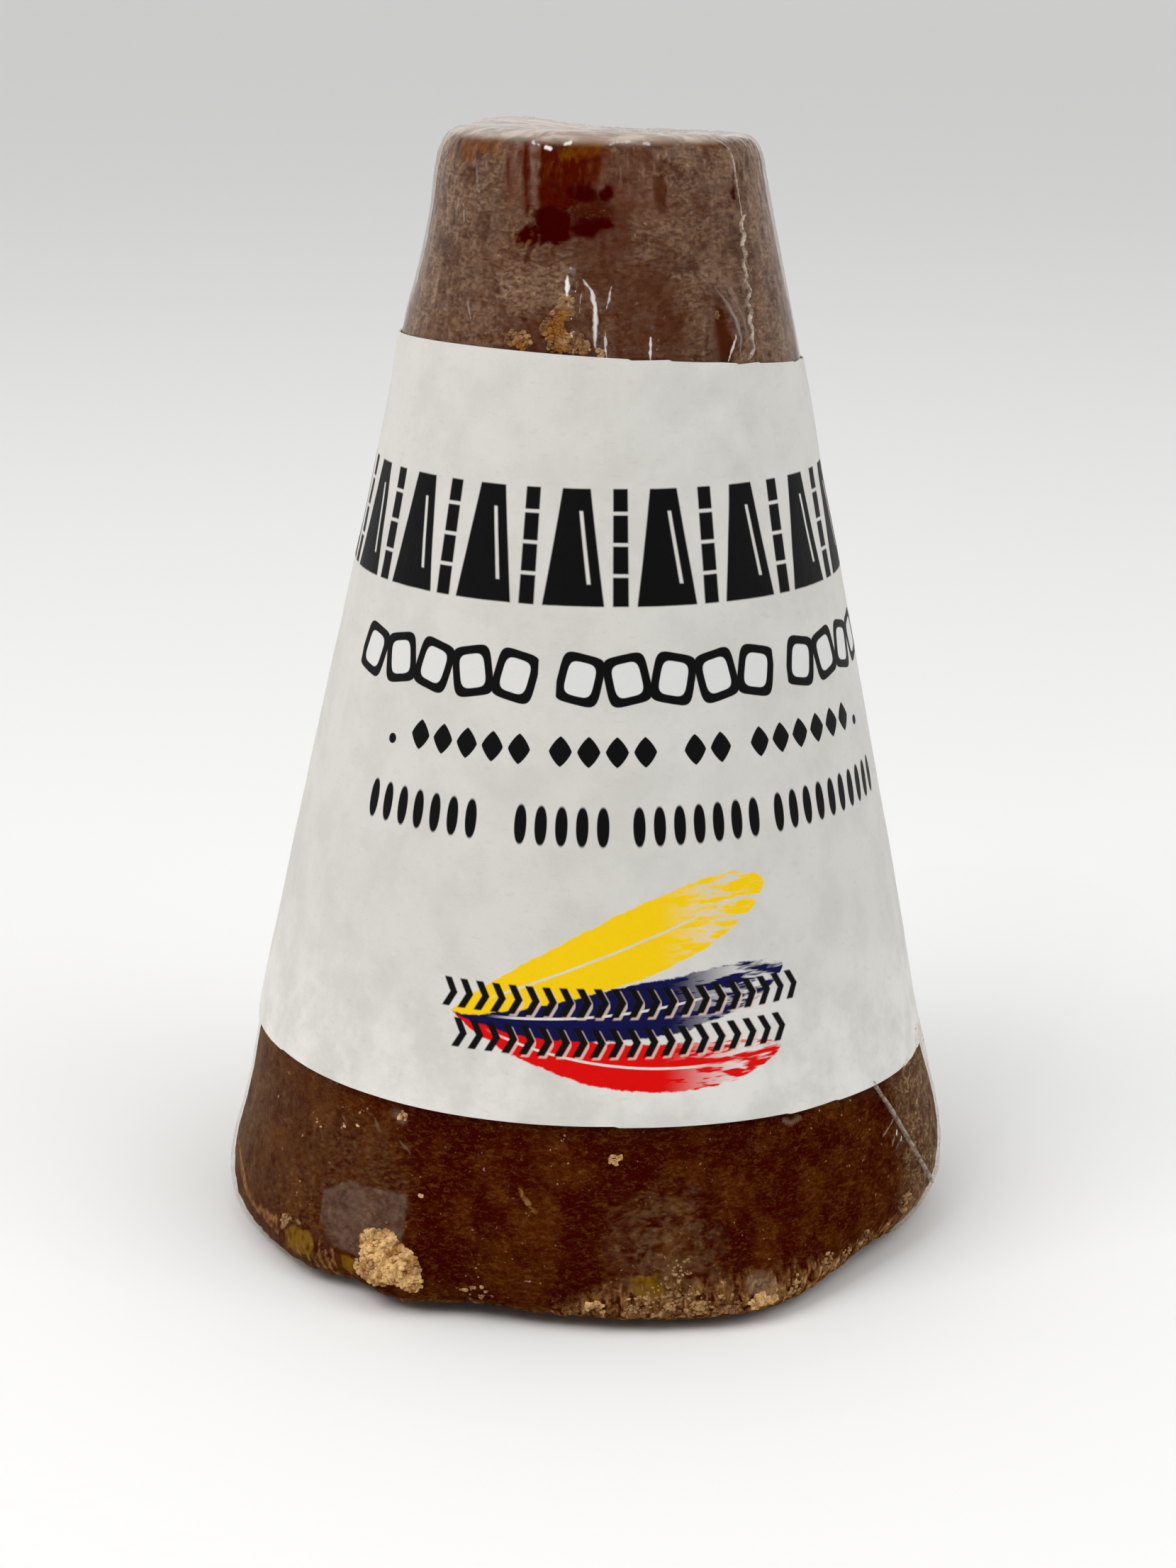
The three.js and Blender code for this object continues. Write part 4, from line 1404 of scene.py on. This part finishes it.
def film_finish():
    finish = new_finish("clear_shrink_film")
    on = Pattern(finish)
    haze, grey, clear = haze_on(on)
    strokes = on.noise(1.3, stretch=(3.5, 1, 1), detail=3, roughness=0.6, distortion=0.5)
    # The crown's pale milkiness is partly crumpled film and partly painted reflection, standing for the
    # glare on the top face.
    crown = on.up.rise(89.1, 89.9)
    haze = haze.maths("MAXIMUM", crown * (0.42 + strokes.rise(0.35, 0.65) * 0.4))
    # Painted glints: the film is painted white along its creases, partly also real whitening of the film.
    white = crease_glints_and_whitening(on)
    tone = tint(finish, on.up.rise(20, 60), FILM["lower"], FILM["upper"])
    tone = tint(finish, grey, tone, FILM["grey"])
    tone = tint(finish, crown, tone, FILM["pale"])
    tone = tint(finish, white.rise(0.0, 0.5), tone, FILM["white"])
    clear_shader = finish.add("ShaderNodeBsdfTransparent")
    milky = finish.solid({"Base Color": tone, "Roughness": 0.6, "Specular IOR Level": 0.0})
    body = layer(finish, any_of([haze, white]), clear_shader, milky)
    normal = bumped(finish, on.noise(1.1, stretch=(1, 1, 2.5), detail=1), 0.03)
    values = {"Roughness": FILM_GLOSS["roughness"] + crown * 0.15, "Normal": normal}
    mirror = finish.add("ShaderNodeBsdfGlossy", {}, values)
    facing = finish.add("ShaderNodeLayerWeight", {}, {"Blend": 0.5, "Normal": normal}, output=1)
    share = facing.maths("POWER", FILM_GLOSS["falloff"]) + FILM_GLOSS["straight"]
    share = share * (0.10 + on.up.rise(16, 74) * 0.7) * (1 - clear * 0.85)
    print("film finish", len(finish.tree.nodes), "nodes")
    return finish.end(layer(finish, share, body, mirror))


dress(film, film_finish())

# %% [markdown]
# ## Finish of the weld
# Many folds of film are melted together here. They are whitish and glossy, and a little see-through,
# so noise varies the alpha. Below the label the cord lies flatter on the sugar and looks darker.

# %% Weld finish
WELD = {"low": (0.36, 0.27, 0.205), "high": (0.55, 0.44, 0.355)}


def weld_finish():
    finish = new_finish("melted_film_weld")
    on = Pattern(finish)
    normal = bumped(finish, on.noise(0.3, detail=2), 0.05)
    tone = tint(finish, on.up.rise(20, 70), WELD["low"], WELD["high"])
    values = {"Base Color": tone, "Roughness": 0.16, "Normal": normal}
    values["Alpha"] = on.noise(0.55, detail=2).rise(0.38, 0.6) * 0.7 + 0.18
    return finish.end(finish.solid(values))


melted = weld_finish()
for piece in (rim_weld, upper_weld, lower_weld):
    dress(piece, melted)

# %% [markdown]
# ## Print on the label
# The print is ornament: rows of sugar-cone and cane motifs in black, a row of white cubes with a heavy
# outline, smaller rows below, and three brushed leaves in yellow, blue and red. Each motif is a mask in
# the label's own coordinates, `across` in degrees and `up` in millimetres. What repeats takes the
# remainder of a division, which is the same small picture again in every cell of the row.

# %% Inks
INK = {
    "black": (0.0025, 0.0025, 0.003),
    "white": (0.74, 0.74, 0.73),
    "plate_edge": (0.78, 0.58, 0.5),
    "yellow": (0.95, 0.62, 0.004),
    "blue": (0.004, 0.004, 0.06),
    "red": (0.74, 0.002, 0.001),
}
SOFT = 0.08  # how soft a printed edge is, in millimetres


# %% Print masks
class Print:
    """Masks on the label. Sizes are in millimetres, places in degrees across and millimetres up."""

    def __init__(self, on, up):
        self.on = on
        self.up = up

    def cell(self, period, start=0.0):
        """Number of the cell, and the place in it in degrees from its middle."""
        count = (self.on.across - start) / period
        number = count.floor()
        return number, (count - number - 0.5) * period

    def to_mm(self, degrees, up):
        return degrees * math.radians(wall_radius(up))

    def bar(self, x, width, low, high):
        tall = self.up.within((low + high) / 2, (high - low) / 2, SOFT)
        return x.within(0, width / 2, SOFT) * tall

    def cone(self, x, foot, top, low, high):
        """A little sugar cone, wider at its foot."""
        share = (self.up - low) / (high - low)
        half = foot / 2 - share * ((foot - top) / 2)
        inside = (x.size() - half).fall(-SOFT, SOFT)
        return inside * self.up.within((low + high) / 2, (high - low) / 2, SOFT)

    def pebble(self, x, width, middle, height, power=4.0):
        """A rounded cube or, with a lower power, an oval or a lozenge."""
        sideways = (x.size() / (width / 2)).maths("POWER", power)
        upwards = ((self.up - middle).size() / (height / 2)).maths("POWER", power)
        edge = power * SOFT / min(width, height)
        return (sideways + upwards).fall(1 - edge, 1 + edge)

    def between(self, start, end):
        middle, half = (start + end) / 2, (end - start) / 2
        return self.on.across.within(middle, half, 0.15)


# %% [markdown]
# ### The rows
# Row by row, from the top: sugar cones and canes, tumbling sugar cubes in three groups, lozenges with
# a dot at either end, and short upright seeds.

# %% Places of the rows
CONE_ROW = {"low": 55.6, "high": 64.3, "period": 21.0, "start": -15.0, "foot": 4.5, "top": 2.2}
CUBE_ROW = {"middle": 50.2, "period": 9.8, "lean": 0.22}
CUBE_ROW["groups"] = [(-60.3, -11.3), (-7.4, 41.6), (45.3, 104.1)]
LOZENGE_ROW = {"middle": 44.8, "period": 5.6}
LOZENGE_ROW["groups"] = [(-39.5, -11.5), (-8.8, 13.6), (18.2, 29.4), (33, 66.6)]
SEED_ROW = {"middle": 39.2, "period": 3.9}
SEED_ROW["groups"] = [(-48.3, -21.0), (-15.0, 4.5), (7.4, 34.7), (36.8, 75.8)]


# %% Sugar cones and canes
def cone_row(ink):
    """Cones with a slanting line of light on them, and canes with light joints between them."""
    row = CONE_ROW
    middle = (row["low"] + row["high"]) / 2
    _, x = ink.cell(row["period"], row["start"])
    x = ink.to_mm(x, middle)
    cones = ink.cone(x, row["foot"], row["top"], row["low"], row["high"])
    light = (x - 0.75 + (ink.up - middle) * 0.13).within(0, 0.14, SOFT) * ink.up.within(middle, 2.7, SOFT)
    _, x = ink.cell(row["period"], row["start"] + row["period"] / 2)
    cane = ink.bar(ink.to_mm(x, middle), 1.15, row["low"], row["high"])
    joints = any_of([ink.up.within(row["low"] + step, 0.13, SOFT) for step in (2.3, 4.6, 6.9)])
    return any_of([cones * (1 - light), cane * (1 - joints)])


# %% White cubes
def cube_row(ink):
    """White cubes with a black outline, that lean left and right in turn. Gives outline and inside."""
    # The larger creases in the film are listed one by one. Each one is a short route on the wall. The
    # vertices nearest to it are picked and pushed outwards, and proportional editing carries the ones
    # around them along, which leaves a rounded ridge.
    row = CUBE_ROW
    outline, inside = [], []
    for start, end in row["groups"]:
        number, x = ink.cell(row["period"], start)
        lean = ((number * 0.5).maths("FRACT").rise(0.2, 0.3) - 0.5) * (2 * row["lean"])
        x = ink.to_mm(x, row["middle"])
        leaning = Print(ink.on, ink.up - x * lean)
        x = x + (ink.up - row["middle"]) * lean
        group = ink.between(start, end)
        outline.append(leaning.pebble(x, 3.5, row["middle"], 3.9, 5.0) * group)
        inside.append(leaning.pebble(x, 2.2, row["middle"], 2.6, 4.0) * group)
    return any_of(outline), any_of(inside)


# %% Lozenges, seeds and dots
def small_row(ink, row, width, height, power):
    masks = []
    for start, end in row["groups"]:
        _, x = ink.cell(row["period"], start)
        x = ink.to_mm(x, row["middle"])
        masks.append(ink.pebble(x, width, row["middle"], height, power) * ink.between(start, end))
    return any_of(masks)


def dots(ink):
    """The two round dots that close the row of lozenges."""
    up = LOZENGE_ROW["middle"] - 0.8
    ends = [ink.to_mm(ink.on.across - across, up) for across in (-44.1, 69.9)]
    return any_of([ink.pebble(x, 0.8, up, 0.8, 2.0) for x in ends])


# %% [markdown]
# ### The brushed leaves
# Three cane leaves fan out from one root. Each is a curved line with a width that swells and closes
# again, and a light midrib. A dry brush leaves gaps at the end of its stroke: noise that is stretched
# along the stroke is cut away more and more towards the end.

# %% Brushed leaves
LEAF_ROOT = (-23, 24.6)
LEAVES = [
    {"ink": "red", "tip": (34, 21.6), "bow": -1.9, "width": 3.9},
    {"ink": "blue", "tip": (36, 27.6), "bow": -0.9, "width": 4.5},
    {"ink": "yellow", "tip": (33.5, 34.2), "bow": 0.5, "width": 6.0},
]


def leaf(ink, shape):
    (start, low), (end, high) = LEAF_ROOT, shape["tip"]
    along = (ink.on.across - start) / (end - start)
    arch = along * (1 - along) * 4
    middle = low + along * (high - low) + arch * shape["bow"]
    swell = arch.maths("MAXIMUM", 0.0).maths("POWER", 0.6) * shape["width"]
    off_middle = (ink.up - middle).size()
    frayed = ink.on.noise(1.4, detail=4, roughness=0.65)
    gap = off_middle - swell * 0.5 * (0.6 + along * 0.6)
    body = (gap + (frayed - 0.5) * 0.7).fall(-SOFT, SOFT)
    bristles = ink.on.noise(0.42, stretch=(6, 6, 1), detail=2)
    dry = (bristles - 0.12).rise(0.28, 0.44).maths("MAXIMUM", along.fall(0.62, 0.9))
    rib = off_middle.fall(0.05, 0.14) * along.within(0.45, 0.3, 0.05)
    return body * dry * (1 - rib) * along.within(0.5, 0.5, 0.004)


# %% [markdown]
# ### Two woven borders
# Across the leaves run two rows of small chevrons, as in a woven band, in black with a pale edge at
# the lower right, as of two printing plates that don't quite meet.

# %% Chevron rows
CHEVRON_ROWS = [
    {"middle": 26.0, "period": 2.9, "from": -25.0, "to": 38.8},
    {"middle": 23.0, "period": 2.9, "from": -22.6, "to": 35.4},
]
CHEVRON = {"tall": 2.2, "thick": 0.62, "slant": 0.55}


def chevrons(ink, row, shift):
    """The row's chevrons, moved by shift millimetres to the right and down."""
    _, x = ink.cell(row["period"], row["from"])
    moved_up = ink.up + shift
    off_middle = (moved_up - row["middle"]).size()
    x = ink.to_mm(x, row["middle"]) - shift + off_middle * CHEVRON["slant"] - CHEVRON["slant"] / 2
    tall = off_middle.fall(CHEVRON["tall"] / 2 - SOFT, CHEVRON["tall"] / 2 + SOFT)
    return x.within(0, CHEVRON["thick"] / 2, SOFT) * tall * ink.between(row["from"], row["to"])


# %% [markdown]
# ## Finish of the label
# The paper is a soft off-white with faint cloudiness and short fibres. All its print is laid on as
# colours, one over the other in the order of printing, and ink is a little glossier than paper. The
# print ends before the lap at the back, where the paper stays plain.

# %% Label finish
PAPER_COLOUR = {
    "main": (0.70, 0.682, 0.645),
    # This colour is used towards the paper's lower edge, where it is paler.
    "paler_below": (0.80, 0.782, 0.742),
    "cloud": (0.62, 0.607, 0.568),
    "fibre": (0.53, 0.515, 0.465),
}
PLATE_GAP = 0.17  # how far the pale edge lies off the black
PRINTED = {"middle": 5.85, "half": 107.65}  # the printed side, in degrees across


def label_finish():
    finish = new_finish("printed_paper")
    on = Pattern(finish)
    cloud = on.noise(4.5, detail=5, roughness=0.6).rise(0.36, 0.68)
    # The paper is paler towards its lower edge.
    colour = tint(finish, on.up.fall(17, 31), PAPER_COLOUR["main"], PAPER_COLOUR["paler_below"])
    colour = tint(finish, cloud * 0.75, colour, PAPER_COLOUR["cloud"])
    fibre = on.noise(0.35, stretch=(3, 3, 1), detail=3).rise(0.58, 0.75)
    colour = tint(finish, fibre * 0.25, colour, PAPER_COLOUR["fibre"])
    wobble = on.noise(1.2, detail=2)
    ink = Print(on, on.up + (wobble - 0.5) * 0.05)
    printed_side = on.across.within(PRINTED["middle"], PRINTED["half"], 0.3)
    for shape in LEAVES:
        colour = tint(finish, leaf(ink, shape), colour, INK[shape["ink"]])
    over_leaves = on.across.within(9, 22, 1)
    for row in CHEVRON_ROWS:
        pale = chevrons(ink, row, PLATE_GAP) * over_leaves
        colour = tint(finish, pale * 0.75, colour, INK["plate_edge"])
    outline, inside = cube_row(ink)
    lozenges = small_row(ink, LOZENGE_ROW, 1.75, 2.3, 1.25)
    seeds = small_row(ink, SEED_ROW, 0.95, 3.0, 2.2)
    borders = any_of([chevrons(ink, row, 0.0) for row in CHEVRON_ROWS])
    black = any_of([cone_row(ink), outline, lozenges, dots(ink), seeds, borders]) * printed_side
    colour = tint(finish, black, colour, INK["black"])
    colour = tint(finish, inside * printed_side, colour, INK["white"])
    normal = bumped(finish, on.noise(0.25, detail=3) + on.noise(1.6, detail=2), 0.03)
    values = {"Base Color": colour, "Roughness": 0.78 - black * 0.25, "Normal": normal}
    return finish.end(finish.solid({**values, "Specular IOR Level": 0.1}))


dress(label, label_finish())

# %% [markdown]
# ## Finish of the floor and the fence
# The floor is plain and pale. The fence is black felt, which gives no light back.

# %% Floor and fence finishes
def floor_finish():
    finish = new_finish("pale_floor")
    shade = finish.add("ShaderNodeTexNoise", {}, {"Scale": 3.0})
    colour = tint(finish, shade, (0.86, 0.86, 0.855), (0.88, 0.88, 0.875))
    values = {"Base Color": colour, "Roughness": 0.9, "Specular IOR Level": 0.1}
    return finish.end(finish.solid(values))


dress(floor, floor_finish())


def fence_finish():
    finish = new_finish("black_felt")
    values = {"Base Color": (0.01, 0.01, 0.01), "Roughness": 1.0, "Specular IOR Level": 0.0}
    return finish.end(finish.solid(values))


dress(fence, fence_finish())

# %% [markdown]
# ## The pieces on the body
# Every piece rides on the one body. The sugar and the film stand for the measured cone, and the band
# for the measured label, which are hidden.

# %% Ride and replace
WRAPPED = [sugar, film, rim_weld, upper_weld, lower_weld, pale_crystals, golden_crystals, edge_crumbs]
for piece in WRAPPED:
    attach(piece, "root")
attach(label, "root")
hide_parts("film_wrapped_cone")
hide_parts("film_wrapped_cone")
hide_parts("paper_label")
